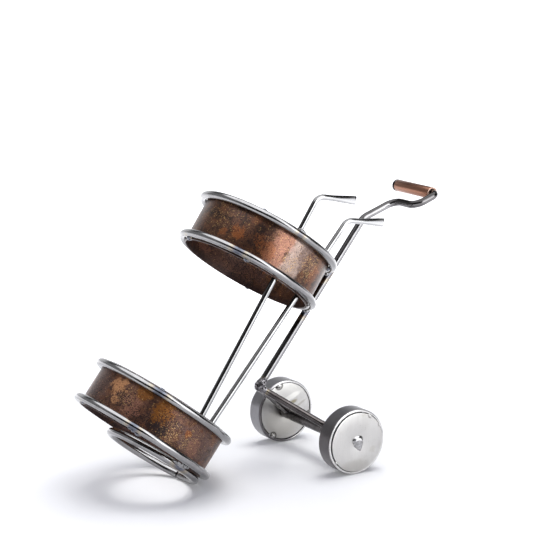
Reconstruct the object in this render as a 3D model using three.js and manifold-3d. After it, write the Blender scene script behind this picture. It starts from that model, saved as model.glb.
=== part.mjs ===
// Tabletop wine rack: a small welded golf trolley of steel rod whose bag, two copper bands in
// wire hoops, holds one bottle leaning back over the wheels.
// Millimetres, +Z up, +X from the foot towards the wheels. The origin is at the middle of the
// underside of the whole object's box.
import * as THREE from "three";
import { mergeVertices } from "three/addons/utils/BufferGeometryUtils.js";
import Module from "manifold-3d";

const wasm = await Module();
wasm.setup();
const degrees = THREE.MathUtils.degToRad;

// Stance
const bagLean = degrees(38.2);
const bagSideOffset = 5.2;
const wheelbase = 123.5;

// Bag: bands and their hoops
const bandOuterDiameter = 86;
const bandWall = 1;
const bandLip = 0.6;
const hoopWire = 4.8;
const lowerHoopSpacing = 24.8;
const upperHoopSpacing = 27.2;
const upperBandStation = 134.9;
const upperBandPitch = degrees(-2.2);
const upperBandYaw = degrees(-2.5);

// Seat ring under the bag
const seatRingOuterDiameter = 63.6;
const seatRingInset = 4.4;
const seatRingTowards = degrees(-37.2);
const seatRingBelow = 1.4;
const seatRingTilt = degrees(3.1);
const seatRingStartAngle = degrees(14);
const seatRingJointAngle = degrees(2);
const footProud = 1.2;
const footFlatDepth = 0.3;

// Spine, handle and grip
const spineWire = 4.8;
const spineFootStation = 66;
const spineTopStation = 193.5;
const handleRise = degrees(19.5);
const handleUpperReach = 26.2;
const handleLowerReach = 17.8;
const shoulderBend = 9;
const handleBend = 7;
const gripBend = 4;
const gripLength = 36.4;
const gripSideOffset = 0.5;
const gripOuterDiameter = 7.8;
const gripWall = 1.1;
const gripEndGap = 0.4;
const gripCapThickness = 1.6;

// Golf clubs: each shaft's angle round the bag at its foot and at the upper band's rim
const clubWire = 3.6;
const clubFootStation = 4;
const clubBend = 4.5;
const clubHeadSpread = 1.5;
const clubHeadThinning = 0.42;
const longClub = {
  footAngle: degrees(-83.3),
  rimAngle: degrees(-99.9),
  neckReach: 25.3,
  headLength: 28.5,
  headTurn: degrees(62),
};
const shortClub = {
  footAngle: degrees(-73.3),
  rimAngle: degrees(-56.3),
  neckReach: 27.1,
  headLength: 28.2,
  headTurn: degrees(60),
};

// Fork, axle and wheels
const forkWire = 4.4;
const forkSpread = 31;
const forkRootInset = 0.5;
const axleTubeDiameter = 8.4;
const spindleWire = 4.8;
const trackWidth = 81.2;
const wheelDiameter = 41.6;
const wheelWidth = 11.8;
const rimWall = 1.6;
const discThickness = 1.2;
const discRecess = 0.5;
const hubWeldHeight = 2.6;

// Clearances
const jointGap = 0.3;
const runningClearance = 0.08;
const wheelSideClearance = 0.5;

// Facets
const wireSides = 10;
const hoopSteps = 48;
const bendSteps = 5;
const roundSides = 48;
const shaftSides = 32;

// Worked out from the sizes above
const bandRadius = bandOuterDiameter / 2;
const bandInnerRadius = bandRadius - bandWall;
const hoopRadius = bandRadius + jointGap + hoopWire / 2;
const seatRingRadius = (seatRingOuterDiameter - hoopWire) / 2;
const seatRingOffset = hoopRadius - seatRingInset - seatRingRadius;
const seatRingBack = seatRingOffset * Math.cos(seatRingTowards);
const seatRingSide = seatRingOffset * Math.sin(seatRingTowards);
const dropClearOfLip = hoopWire + bandLip + seatRingBelow;
const dropClearOfHoop =
  (hoopRadius - seatRingBack - seatRingRadius) * Math.tan(bagLean) + footProud;
const seatRingDrop = Math.max(dropClearOfLip, dropClearOfHoop);
const upperBandHeight = upperHoopSpacing + hoopWire + 2 * bandLip;
const lowerBandHeight = lowerHoopSpacing + hoopWire + 2 * bandLip;
const lowerBandStation = lowerHoopSpacing / 2;
const bandTilt = Math.hypot(upperBandPitch, upperBandYaw);
const rimTiltAllowance = (upperBandHeight / 2) * Math.sin(bandTilt);
const hoopTiltAllowance = (upperHoopSpacing / 2) * Math.sin(Math.abs(upperBandPitch));
const spineReach = hoopRadius + (hoopWire + spineWire) / 2 + jointGap + hoopTiltAllowance;
const spineBack = Math.sqrt(spineReach ** 2 - bagSideOffset ** 2);
const wheelRadius = wheelDiameter / 2;
const wheelInnerFace = (trackWidth - wheelWidth) / 2;
const wheelOuterFace = (trackWidth + wheelWidth) / 2;
const discRadius = wheelRadius - rimWall - jointGap;

// Finishes
const finish = (color, roughness, metalness) =>
  new THREE.MeshStandardMaterial({ color, roughness, metalness });
const steelWire = () => finish(0x8d8c8e, 0.32, 1);
const darkSteel = () => finish(0x5e5a5a, 0.42, 1);
const wheelSteel = () => finish(0x77757c, 0.48, 1);
const discSteel = () => finish(0xc9c7c4, 0.45, 1);
const weldMetal = () => finish(0x8a8987, 0.38, 1);
const agedCopper = () => finish(0x7d5038, 0.5, 1);
const brightCopper = () => finish(0xb07a62, 0.34, 1);

// Paths of the wires. Each one puts its steps at its own stations, close together in the bends.
class StationPath extends THREE.Curve {
  constructor(stations) {
    super();
    this.stations = stations;
  }

  get steps() {
    return this.stations.length - 1;
  }

  getUtoTmapping(u) {
    return u;
  }

  getPoint(t, target = new THREE.Vector3()) {
    const at = THREE.MathUtils.clamp(t, 0, 1) * this.steps;
    const i = Math.min(Math.floor(at), this.steps - 1);
    return target.lerpVectors(this.stations[i], this.stations[i + 1], at - i);
  }
}

// A wire bent at its inner corners, each with its own centre-line radius.
function bentPath(corners, radii) {
  const stations = [corners[0].clone()];
  for (let i = 1; i < corners.length - 1; i++) {
    const into = corners[i].clone().sub(corners[i - 1]).normalize();
    const out = corners[i + 1].clone().sub(corners[i]).normalize();
    const turn = into.angleTo(out);
    const cut = radii[i - 1] * Math.tan(turn / 2);
    const start = corners[i].clone().addScaledVector(into, -cut);
    const inward = out.clone().addScaledVector(into, -out.dot(into)).normalize();
    const centre = start.clone().addScaledVector(inward, radii[i - 1]);
    for (let k = 0; k <= bendSteps; k++) {
      const angle = (turn * k) / bendSteps;
      stations.push(
        centre
          .clone()
          .addScaledVector(inward, -radii[i - 1] * Math.cos(angle))
          .addScaledVector(into, radii[i - 1] * Math.sin(angle)),
      );
    }
  }
  stations.push(corners.at(-1).clone());
  return new StationPath(stations);
}

// The same path with both ends pushed out, for the space that a wire needs.
function lengthened(path, extra) {
  const stations = path.stations.map((p) => p.clone());
  const first = stations[0].clone().sub(stations[1]).normalize();
  const last = stations.at(-1).clone().sub(stations.at(-2)).normalize();
  stations[0].addScaledVector(first, extra);
  stations.at(-1).addScaledVector(last, extra);
  return new StationPath(stations);
}

function wireAlong(path, diameter, extra = 0, sides = wireSides) {
  const section = new THREE.Shape();
  const radius = diameter / 2 + extra;
  for (let k = 0; k < sides; k++) {
    const angle = (2 * Math.PI * k) / sides;
    section[k ? "lineTo" : "moveTo"](radius * Math.cos(angle), radius * Math.sin(angle));
  }
  const route = extra ? lengthened(path, extra) : path;
  return new THREE.ExtrudeGeometry(section, { steps: route.steps, extrudePath: route });
}

// A ring turned about +Z from a rectangle.
function turnedRing(innerRadius, outerRadius, height, sides = roundSides) {
  const half = height / 2;
  const profile = [
    new THREE.Vector2(innerRadius, -half),
    new THREE.Vector2(outerRadius, -half),
    new THREE.Vector2(outerRadius, half),
    new THREE.Vector2(innerRadius, half),
    new THREE.Vector2(innerRadius, -half),
  ];
  return new THREE.LatheGeometry(profile, sides).rotateX(Math.PI / 2);
}

// Solids for cutting. A geometry that came from a solid keeps it.
function solidOf(geometry, matrix = new THREE.Matrix4()) {
  if (geometry.userData.solid) {
    return geometry.userData.solid.transform(matrix.toArray());
  }
  const bare = (geometry.index ? geometry.toNonIndexed() : geometry.clone()).applyMatrix4(matrix);
  bare.deleteAttribute("normal");
  bare.deleteAttribute("uv");
  const merged = mergeVertices(bare, 1e-4);
  return new wasm.Manifold(
    new wasm.Mesh({
      numProp: 3,
      vertProperties: merged.attributes.position.array,
      triVerts: new Uint32Array(merged.index.array),
    }),
  );
}

function geometryOf(solid) {
  const mesh = solid.getMesh();
  const geometry = new THREE.BufferGeometry();
  geometry.setAttribute("position", new THREE.BufferAttribute(mesh.vertProperties, 3));
  geometry.setIndex(new THREE.BufferAttribute(mesh.triVerts, 1));
  geometry.computeVertexNormals();
  geometry.userData.solid = solid;
  return geometry;
}

const largestBody = (solid) =>
  solid.decompose().reduce((best, body) => (body.volume() > best.volume() ? body : best));

// The assembly: the trolley stands still, its bag leans, and the upper band sits in the bag.
const rack = new THREE.Group();
const trolley = new THREE.Group();
rack.add(trolley);
const bag = new THREE.Group();
bag.rotation.y = bagLean;
trolley.add(bag);
const upperBandFrame = new THREE.Group();
upperBandFrame.position.z = upperBandStation;
upperBandFrame.rotation.set(upperBandYaw, upperBandPitch, 0, "YXZ");
bag.add(upperBandFrame);

// Adds a piece. shape(extra) gives its geometry with every surface moved out by extra.
function addPiece(parent, name, material, shape) {
  const mesh = new THREE.Mesh(shape(0), material);
  mesh.name = name;
  mesh.userData.shape = shape;
  parent.add(mesh);
  return mesh;
}

// Seat ring: an open wire ring, tilted up towards the hoop on its near side.
function seatRingPath() {
  const sweep = 2 * Math.PI - seatRingJointAngle;
  const stations = [];
  for (let k = 0; k <= hoopSteps; k++) {
    const angle = seatRingStartAngle + seatRingJointAngle + (sweep * k) / hoopSteps;
    const side = seatRingRadius * Math.sin(angle);
    stations.push(
      new THREE.Vector3(
        seatRingBack + seatRingRadius * Math.cos(angle),
        seatRingSide + side,
        -seatRingDrop - side * Math.tan(seatRingTilt),
      ),
    );
  }
  return new StationPath(stations);
}

const ringPath = seatRingPath();
const heightInBag = (point) => point.z * Math.cos(bagLean) - point.x * Math.sin(bagLean);
const ringLowest = Math.min(...ringPath.stations.map(heightInBag)) - hoopWire / 2;
bag.position.set(0, bagSideOffset, -ringLowest - footFlatDepth);

const toTrolley = (point) => point.clone().applyEuler(bag.rotation).add(bag.position);
const inBag = (back, side, along) => new THREE.Vector3(back, side, along);

const seatRing = addPiece(bag, "seat_ring", steelWire(), (extra) =>
  wireAlong(ringPath, hoopWire, extra),
);

// Bands and hoops
const hoop = (extra) => new THREE.TorusGeometry(hoopRadius, hoopWire / 2 + extra, wireSides, hoopSteps);
const band = (height) => (extra) =>
  turnedRing(bandInnerRadius - extra, bandRadius + extra, height + 2 * extra);

const lowerBand = addPiece(bag, "lower_band", agedCopper(), band(lowerBandHeight));
lowerBand.position.z = lowerBandStation;
const lowerBottomHoop = addPiece(bag, "lower_band_bottom_hoop", steelWire(), hoop);
const lowerTopHoop = addPiece(bag, "lower_band_top_hoop", steelWire(), hoop);
lowerTopHoop.position.z = lowerHoopSpacing;

const upperBand = addPiece(upperBandFrame, "upper_band", agedCopper(), band(upperBandHeight));
const upperBottomHoop = addPiece(upperBandFrame, "upper_band_bottom_hoop", steelWire(), hoop);
upperBottomHoop.position.z = -upperHoopSpacing / 2;
const upperTopHoop = addPiece(upperBandFrame, "upper_band_top_hoop", steelWire(), hoop);
upperTopHoop.position.z = upperHoopSpacing / 2;

// Golf clubs: straight shafts inside both bands, with heads bent over and beaten flat
const clubReach = bandInnerRadius - jointGap - clubWire / 2;
const rimStation = upperBandStation + upperBandHeight / 2;
const polar = (radius, angle, along) =>
  inBag(radius * Math.cos(angle), radius * Math.sin(angle), along);

function shaftPoint(club, along) {
  const foot = polar(clubReach, club.footAngle, clubFootStation);
  const rim = polar(clubReach - rimTiltAllowance, club.rimAngle, rimStation);
  return foot.lerp(rim, (along - clubFootStation) / (rimStation - clubFootStation));
}

function clubShape(club) {
  const headDirection = inBag(Math.sin(club.headTurn), 0, Math.cos(club.headTurn));
  const headAcross = inBag(-Math.cos(club.headTurn), 0, Math.sin(club.headTurn));
  const neck = shaftPoint(club, rimStation + club.neckReach);
  const tip = neck.clone().addScaledVector(headDirection, club.headLength);
  const middle = neck.clone().lerp(tip, 0.6);
  const path = bentPath([shaftPoint(club, clubFootStation), neck, middle], [clubBend]);
  path.stations.push(tip);
  return (extra) => {
    const geometry = wireAlong(path, clubWire, extra);
    const points = geometry.attributes.position;
    const point = new THREE.Vector3();
    for (let i = 0; i < points.count; i++) {
      point.fromBufferAttribute(points, i);
      const offset = point.clone().sub(neck);
      const flat = THREE.MathUtils.smoothstep(offset.dot(headDirection), clubBend, club.headLength);
      const thin = offset.y * (THREE.MathUtils.lerp(1, clubHeadThinning, flat) - 1);
      const wide = offset.dot(headAcross) * (THREE.MathUtils.lerp(1, clubHeadSpread, flat) - 1);
      point.y += thin;
      point.addScaledVector(headAcross, wide);
      points.setXYZ(i, point.x, point.y, point.z);
    }
    return geometry;
  };
}

const longClubMesh = addPiece(bag, "golf_club_long", steelWire(), clubShape(longClub));
const shortClubMesh = addPiece(bag, "golf_club_short", steelWire(), clubShape(shortClub));

// Spine and handle: one rod, welded up the back of the upper hoops, bent into the handle
const spineAt = (along) => toTrolley(inBag(spineBack, -bagSideOffset, along));
const handleForward = new THREE.Vector3(Math.cos(handleRise), 0, Math.sin(handleRise));
const shoulder = spineAt(spineTopStation);
const handleTurn = shoulder.clone().addScaledVector(handleForward, handleUpperReach);
const gripNearEnd = gripSideOffset - gripLength / 2;
const gripFarEnd = gripSideOffset + gripLength / 2;
const handleSide = gripNearEnd - gripEndGap - gripBend;
const handleLow = handleTurn.clone().setY(handleSide);
const gripCorner = handleLow.clone().addScaledVector(handleForward, handleLowerReach);
const spineEnd = gripCorner.clone().setY(gripFarEnd + gripEndGap);
const spinePath = bentPath(
  [spineAt(spineFootStation), shoulder, handleTurn, handleLow, gripCorner, spineEnd],
  [shoulderBend, handleBend, handleBend, gripBend],
);
const spine = addPiece(trolley, "spine_and_handle", steelWire(), (extra) =>
  wireAlong(spinePath, spineWire, extra, 12),
);

// Grip: a loose copper sleeve on the crossbar, kept on by a steel cap
const grip = addPiece(trolley, "grip_sleeve", brightCopper(), (extra) =>
  turnedRing(
    gripOuterDiameter / 2 - gripWall - extra,
    gripOuterDiameter / 2 + extra,
    gripLength + 2 * extra,
    24,
  ).rotateX(Math.PI / 2),
);
grip.position.set(gripCorner.x, gripSideOffset, gripCorner.z);

function capShape(extra) {
  const radius = gripOuterDiameter / 2 + extra;
  const back = -extra;
  const profile = [
    new THREE.Vector2(0, back),
    new THREE.Vector2(radius, back),
    new THREE.Vector2(radius, gripCapThickness * 0.45),
    new THREE.Vector2(radius * 0.72, gripCapThickness + extra),
    new THREE.Vector2(0, gripCapThickness + extra),
  ];
  return new THREE.LatheGeometry(profile, 24);
}
const gripCap = addPiece(trolley, "grip_end_cap", darkSteel(), capShape);
gripCap.position.set(gripCorner.x, gripFarEnd + gripEndGap + jointGap, gripCorner.z);

// Axle tube, spindle and wheels, about the axle line
const axleCentre = new THREE.Vector3(wheelbase, 0, wheelRadius);
const alongAxle = (geometry) => geometry.rotateX(Math.PI / 2);

const axleTube = addPiece(trolley, "axle_tube", darkSteel(), (extra) =>
  alongAxle(
    turnedRing(
      spindleWire / 2 + runningClearance,
      axleTubeDiameter / 2 + extra,
      2 * (wheelInnerFace - wheelSideClearance + extra),
      shaftSides,
    ),
  ),
);
axleTube.position.copy(axleCentre);

const spindle = addPiece(trolley, "wheel_spindle", steelWire(), (extra) =>
  new THREE.CylinderGeometry(
    spindleWire / 2 + extra,
    spindleWire / 2 + extra,
    2 * (wheelOuterFace - discRecess + extra),
    shaftSides,
  ),
);
spindle.position.copy(axleCentre);

const discFace = discRecess + discThickness / 2;
for (const [side, sign] of [
  ["near", -1],
  ["far", 1],
]) {
  const rim = addPiece(trolley, `${side}_wheel_rim`, wheelSteel(), () =>
    alongAxle(turnedRing(wheelRadius - rimWall, wheelRadius, wheelWidth)),
  );
  rim.position.copy(axleCentre).setY((sign * trackWidth) / 2);
  for (const [face, place] of [
    ["inner", wheelInnerFace + discFace],
    ["outer", wheelOuterFace - discFace],
  ]) {
    const disc = addPiece(trolley, `${side}_wheel_${face}_disc`, discSteel(), () =>
      alongAxle(turnedRing(spindleWire / 2 + jointGap, discRadius, discThickness)),
    );
    disc.position.copy(axleCentre).setY(sign * place);
  }
  const hubWeld = addPiece(trolley, `${side}_hub_weld`, weldMetal(), () => hubWeldShape(sign));
  hubWeld.position.copy(axleCentre).setY(sign * (wheelOuterFace - discRecess + jointGap));
}

// A lump of weld over the spindle's end, flat where it meets the disc
function hubWeldShape(sign) {
  const lump = new THREE.SphereGeometry(1, 14, 8);
  lump.scale(3.3, hubWeldHeight, 4.6).rotateY(degrees(24));
  const behind = new THREE.BoxGeometry(20, 20, 20).translate(0, -sign * 10, 0);
  return geometryOf(solidOf(lump).subtract(solidOf(behind)));
}

// Cutting a piece of the trolley back from the space that its neighbours need
rack.updateMatrixWorld(true);
const spaceOf = (piece) => solidOf(piece.userData.shape(jointGap), piece.matrixWorld);
function cutBack(mesh, neighbours) {
  const whole = solidOf(mesh.geometry, mesh.matrixWorld);
  const rest = neighbours.reduce((solid, piece) => solid.subtract(spaceOf(piece)), whole);
  mesh.geometry = geometryOf(largestBody(rest));
  return mesh;
}

// Fork: two arms from the spine's foot to the axle tube
const junction = spineAt(spineFootStation);
const forkEnd = (sign) => axleCentre.clone().setY(sign * forkSpread);
const forkHalfAngle = Math.asin(forkSpread / forkEnd(1).distanceTo(junction));
const forkRootReach = (forkWire + jointGap) / 2 / Math.sin(forkHalfAngle) + forkRootInset;
function forkArmShape(sign) {
  const along = forkEnd(sign).sub(junction).normalize();
  const start = junction.clone().addScaledVector(along, forkRootReach);
  const path = new StationPath([start, forkEnd(sign)]);
  return (extra) => wireAlong(path, forkWire, extra);
}
const nearArm = addPiece(trolley, "near_fork_arm", darkSteel(), forkArmShape(-1));
const farArm = addPiece(trolley, "far_fork_arm", darkSteel(), forkArmShape(1));
cutBack(nearArm, [axleTube]);
cutBack(farArm, [axleTube]);

// The foot: the seat ring's lowest stretch ground flat
function groundFlat(mesh) {
  const block = new THREE.BoxGeometry(200, 200, 20).translate(0, 0, -10);
  const intoMesh = mesh.matrixWorld.clone().invert();
  mesh.geometry = geometryOf(solidOf(mesh.geometry).subtract(solidOf(block, intoMesh)));
}
groundFlat(seatRing);

// Welds: each is a lump of metal between the pieces that it joins
const frameOf = (forward, up) => {
  const x = forward.clone().normalize();
  const z = up.clone().addScaledVector(x, -up.dot(x)).normalize();
  return new THREE.Matrix4().makeBasis(x, z.clone().cross(x), z);
};

function addWeld(name, at, radii, joined, frame) {
  const lump = new THREE.SphereGeometry(1, 10, 8);
  lump.scale(...radii).applyMatrix4(frame).translate(at.x, at.y, at.z);
  return cutBack(addPiece(trolley, name, weldMetal(), () => lump), joined);
}

const bagAxis = new THREE.Vector3(0, 0, 1).applyEuler(bag.rotation);
const bagBack = new THREE.Vector3(1, 0, 0).applyEuler(bag.rotation);
const outwardAt = (angle) =>
  new THREE.Vector3(Math.cos(angle), Math.sin(angle), 0).applyEuler(bag.rotation);

const forkDown = axleCentre.clone().sub(junction).normalize();
addWeld(
  "fork_junction_weld",
  junction.clone().addScaledVector(forkDown, 1.6),
  [6.2, 6.6, 4.4],
  [spine, nearArm, farArm],
  frameOf(forkDown, bagAxis),
);

for (const [side, sign, arm] of [
  ["near", -1, nearArm],
  ["far", 1, farArm],
]) {
  const back = junction.clone().sub(forkEnd(sign)).normalize();
  const at = forkEnd(sign).addScaledVector(back, axleTubeDiameter / 2 + 1.6);
  addWeld(`${side}_fork_arm_weld`, at, [2.6, 4.4, 4], [arm, axleTube], frameOf(back, bagAxis));
}

// Where the spine crosses the two upper hoops
const spineAngle = Math.atan2(-bagSideOffset, spineBack);
for (const [name, mesh] of [
  ["spine_lower_hoop_weld", upperBottomHoop],
  ["spine_upper_hoop_weld", upperTopHoop],
]) {
  const onHoop = new THREE.Vector3(
    hoopRadius * Math.cos(spineAngle - 0.05),
    hoopRadius * Math.sin(spineAngle - 0.05),
    0,
  ).applyMatrix4(mesh.matrixWorld);
  const at = onHoop.clone().addScaledVector(outwardAt(spineAngle), hoopWire / 2);
  addWeld(name, at, [3, 4.2, 3.4], [mesh, spine], frameOf(bagBack, bagAxis));
}

// Where the near side of the seat ring meets the lower band and the bottom hoop
const seatWeldAngle = degrees(-78);
const angleOf = (point) => Math.atan2(point.y, point.x);
const angleFromWeld = (point) => Math.abs(angleOf(point) - seatWeldAngle);
const ringAtWeld = ringPath.stations.reduce((best, point) =>
  angleFromWeld(point) < angleFromWeld(best) ? point : best,
);
const hoopAtWeld = polar(hoopRadius, seatWeldAngle, 0);
addWeld(
  "seat_ring_weld",
  toTrolley(ringAtWeld.clone().lerp(hoopAtWeld, 0.4)),
  [ringAtWeld.distanceTo(hoopAtWeld) / 2, 5.2, 3.4],
  [seatRing, lowerBottomHoop, lowerBand],
  frameOf(outwardAt(seatWeldAngle), bagAxis),
);

// Where the clubs lie against the inside of the bands, on the side away from the other club
function addBandWeld(name, club, station, side, rod, bandPiece) {
  const angle = angleOf(shaftPoint(club, station)) + (side * clubWire * 0.6) / clubReach;
  const at = toTrolley(polar(clubReach + 0.7, angle, station));
  addWeld(name, at, [2, 2.4, 4.2], [rod, bandPiece], frameOf(outwardAt(angle), bagAxis));
}
addBandWeld("long_club_lower_weld", longClub, lowerBandStation, -1, longClubMesh, lowerBand);
addBandWeld("short_club_lower_weld", shortClub, lowerBandStation, 1, shortClubMesh, lowerBand);
addBandWeld("short_club_upper_weld", shortClub, upperBandStation, 1, shortClubMesh, upperBand);

// The long club is also tacked to the top hoop, over the band's edge
const tackStation = rimStation + 0.9;
const tackPoint = shaftPoint(longClub, tackStation);
const tackAngle = angleOf(tackPoint);
addWeld(
  "long_club_upper_weld",
  toTrolley(polar(bandRadius - 0.4, tackAngle, tackStation)),
  [3.8, 3.2, 2.8],
  [longClubMesh, upperBand, upperTopHoop],
  frameOf(outwardAt(tackAngle), bagAxis),
);

// Origin at the middle of the underside
const box = new THREE.Box3().setFromObject(rack, true);
const middle = box.getCenter(new THREE.Vector3());
trolley.position.set(-middle.x, -middle.y, -box.min.z);

export default rack;
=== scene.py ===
"""Looks of a tabletop wine rack, made like a small golf trolley of welded steel rod.

The bag is two patinated copper bands in wire hoops. Behind it stand a spine rod with a handle, two
golf clubs bent from wire, and a fork with an axle and two disc wheels. Lengths are in metres in the
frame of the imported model, and MM turns a size in millimetres into them. CLOSE is how near two lengths
are when they count as one, SIDES gives each side of the rack with the sign of its Y axis, and ACROSS
lays a piece's Z axis across the rack.
"""

import logging
import math
from dataclasses import dataclass, field
from enum import Enum
from typing import Callable, Iterable, Sequence

import bpy
from mathutils import Euler, Matrix, Vector
from mathutils.kdtree import KDTree


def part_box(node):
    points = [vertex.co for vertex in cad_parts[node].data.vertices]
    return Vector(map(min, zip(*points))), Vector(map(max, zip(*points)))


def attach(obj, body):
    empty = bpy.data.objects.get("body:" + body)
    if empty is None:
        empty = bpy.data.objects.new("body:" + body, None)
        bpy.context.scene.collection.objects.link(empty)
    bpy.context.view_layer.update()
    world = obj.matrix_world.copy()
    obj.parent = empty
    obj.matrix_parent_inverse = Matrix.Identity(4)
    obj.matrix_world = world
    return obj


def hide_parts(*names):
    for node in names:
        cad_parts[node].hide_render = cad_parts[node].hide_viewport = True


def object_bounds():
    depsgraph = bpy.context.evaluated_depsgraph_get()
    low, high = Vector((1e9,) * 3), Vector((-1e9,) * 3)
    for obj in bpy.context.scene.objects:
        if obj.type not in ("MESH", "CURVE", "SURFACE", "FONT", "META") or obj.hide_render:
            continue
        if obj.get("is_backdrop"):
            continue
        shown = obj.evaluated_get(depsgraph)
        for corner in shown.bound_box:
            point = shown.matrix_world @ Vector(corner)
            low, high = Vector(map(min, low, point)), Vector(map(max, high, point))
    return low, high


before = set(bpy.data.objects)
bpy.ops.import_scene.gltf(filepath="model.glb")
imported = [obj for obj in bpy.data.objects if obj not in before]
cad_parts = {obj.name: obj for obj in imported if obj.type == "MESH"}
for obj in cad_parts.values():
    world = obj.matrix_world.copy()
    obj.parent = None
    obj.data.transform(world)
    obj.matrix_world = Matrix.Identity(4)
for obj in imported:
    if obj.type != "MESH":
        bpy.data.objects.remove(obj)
CAD_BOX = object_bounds()

MM = 0.001
CLOSE = 0.01 * MM
SIDES = (("near", -1), ("far", 1))
ACROSS = Matrix.Rotation(math.pi / 2, 4, "X")
RUN_COORDS = "run_coords"
log = logging.getLogger("rack")

Tone = tuple[float, float, float]


# Shader expressions

class Shade:
    """A shader socket that takes part in sums written in Python."""

    def __init__(self, recipe: "Recipe", socket: bpy.types.NodeSocket) -> None:
        """Wraps one output socket of a recipe's node."""
        self.recipe = recipe
        self.socket = socket

    def _sum(self, operation: str, *values: "Shade | float") -> "Shade":
        """Adds a Math node on values."""
        return self.recipe.node("ShaderNodeMath", {"operation": operation}, dict(enumerate(values)))

    def __add__(self, other: "Shade | float") -> "Shade":
        """Sum of two values."""
        return self._sum("ADD", self, other)

    def __sub__(self, other: "Shade | float") -> "Shade":
        """This value less another."""
        return self._sum("SUBTRACT", self, other)

    def __rsub__(self, other: float) -> "Shade":
        """A number less this value."""
        return self._sum("SUBTRACT", other, self)

    def __mul__(self, other: "Shade | float") -> "Shade":
        """Product of two values."""
        return self._sum("MULTIPLY", self, other)

    def __truediv__(self, other: "Shade | float") -> "Shade":
        """This value over another."""
        return self._sum("DIVIDE", self, other)

    __radd__ = __add__
    __rmul__ = __mul__

    def least(self, other: "Shade | float") -> "Shade":
        """The smaller of two values."""
        return self._sum("MINIMUM", self, other)

    def most(self, other: "Shade | float") -> "Shade":
        """The larger of two values."""
        return self._sum("MAXIMUM", self, other)

    def size(self) -> "Shade":
        """The value without its sign."""
        return self._sum("ABSOLUTE", self)

    def bearing(self, ahead: "Shade") -> "Shade":
        """The angle in radians whose sine part is this value and whose cosine part is ahead."""
        return self._sum("ARCTAN2", self, ahead)

    def rise(self, low: float, high: float) -> "Shade":
        """Goes smoothly from 0 at low to 1 at high.

        Args:
            low: the value where the rise starts.
            high: the value where it ends.

        Returns:
            The height of the rise, from 0 to 1.
        """
        settings = {"interpolation_type": "SMOOTHSTEP"}
        return self.recipe.node("ShaderNodeMapRange", settings, {0: self, 1: low, 2: high, 3: 0.0, 4: 1.0})

    def within(self, start: float, full: float, fading: float, end: float) -> "Shade":
        """Goes smoothly from 0 up to 1, and back to 0.

        Args:
            start: the value where the rise starts.
            full: the value where it ends.
            fading: the value where the fall starts.
            end: the value where it ends.

        Returns:
            The height, from 0 to 1.
        """
        return self.rise(start, full) * (1.0 - self.rise(fading, end))

    def part(self, name: str) -> "Shade":
        """Another output of the same node."""
        return Shade(self.recipe, self.socket.node.outputs[name])


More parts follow.
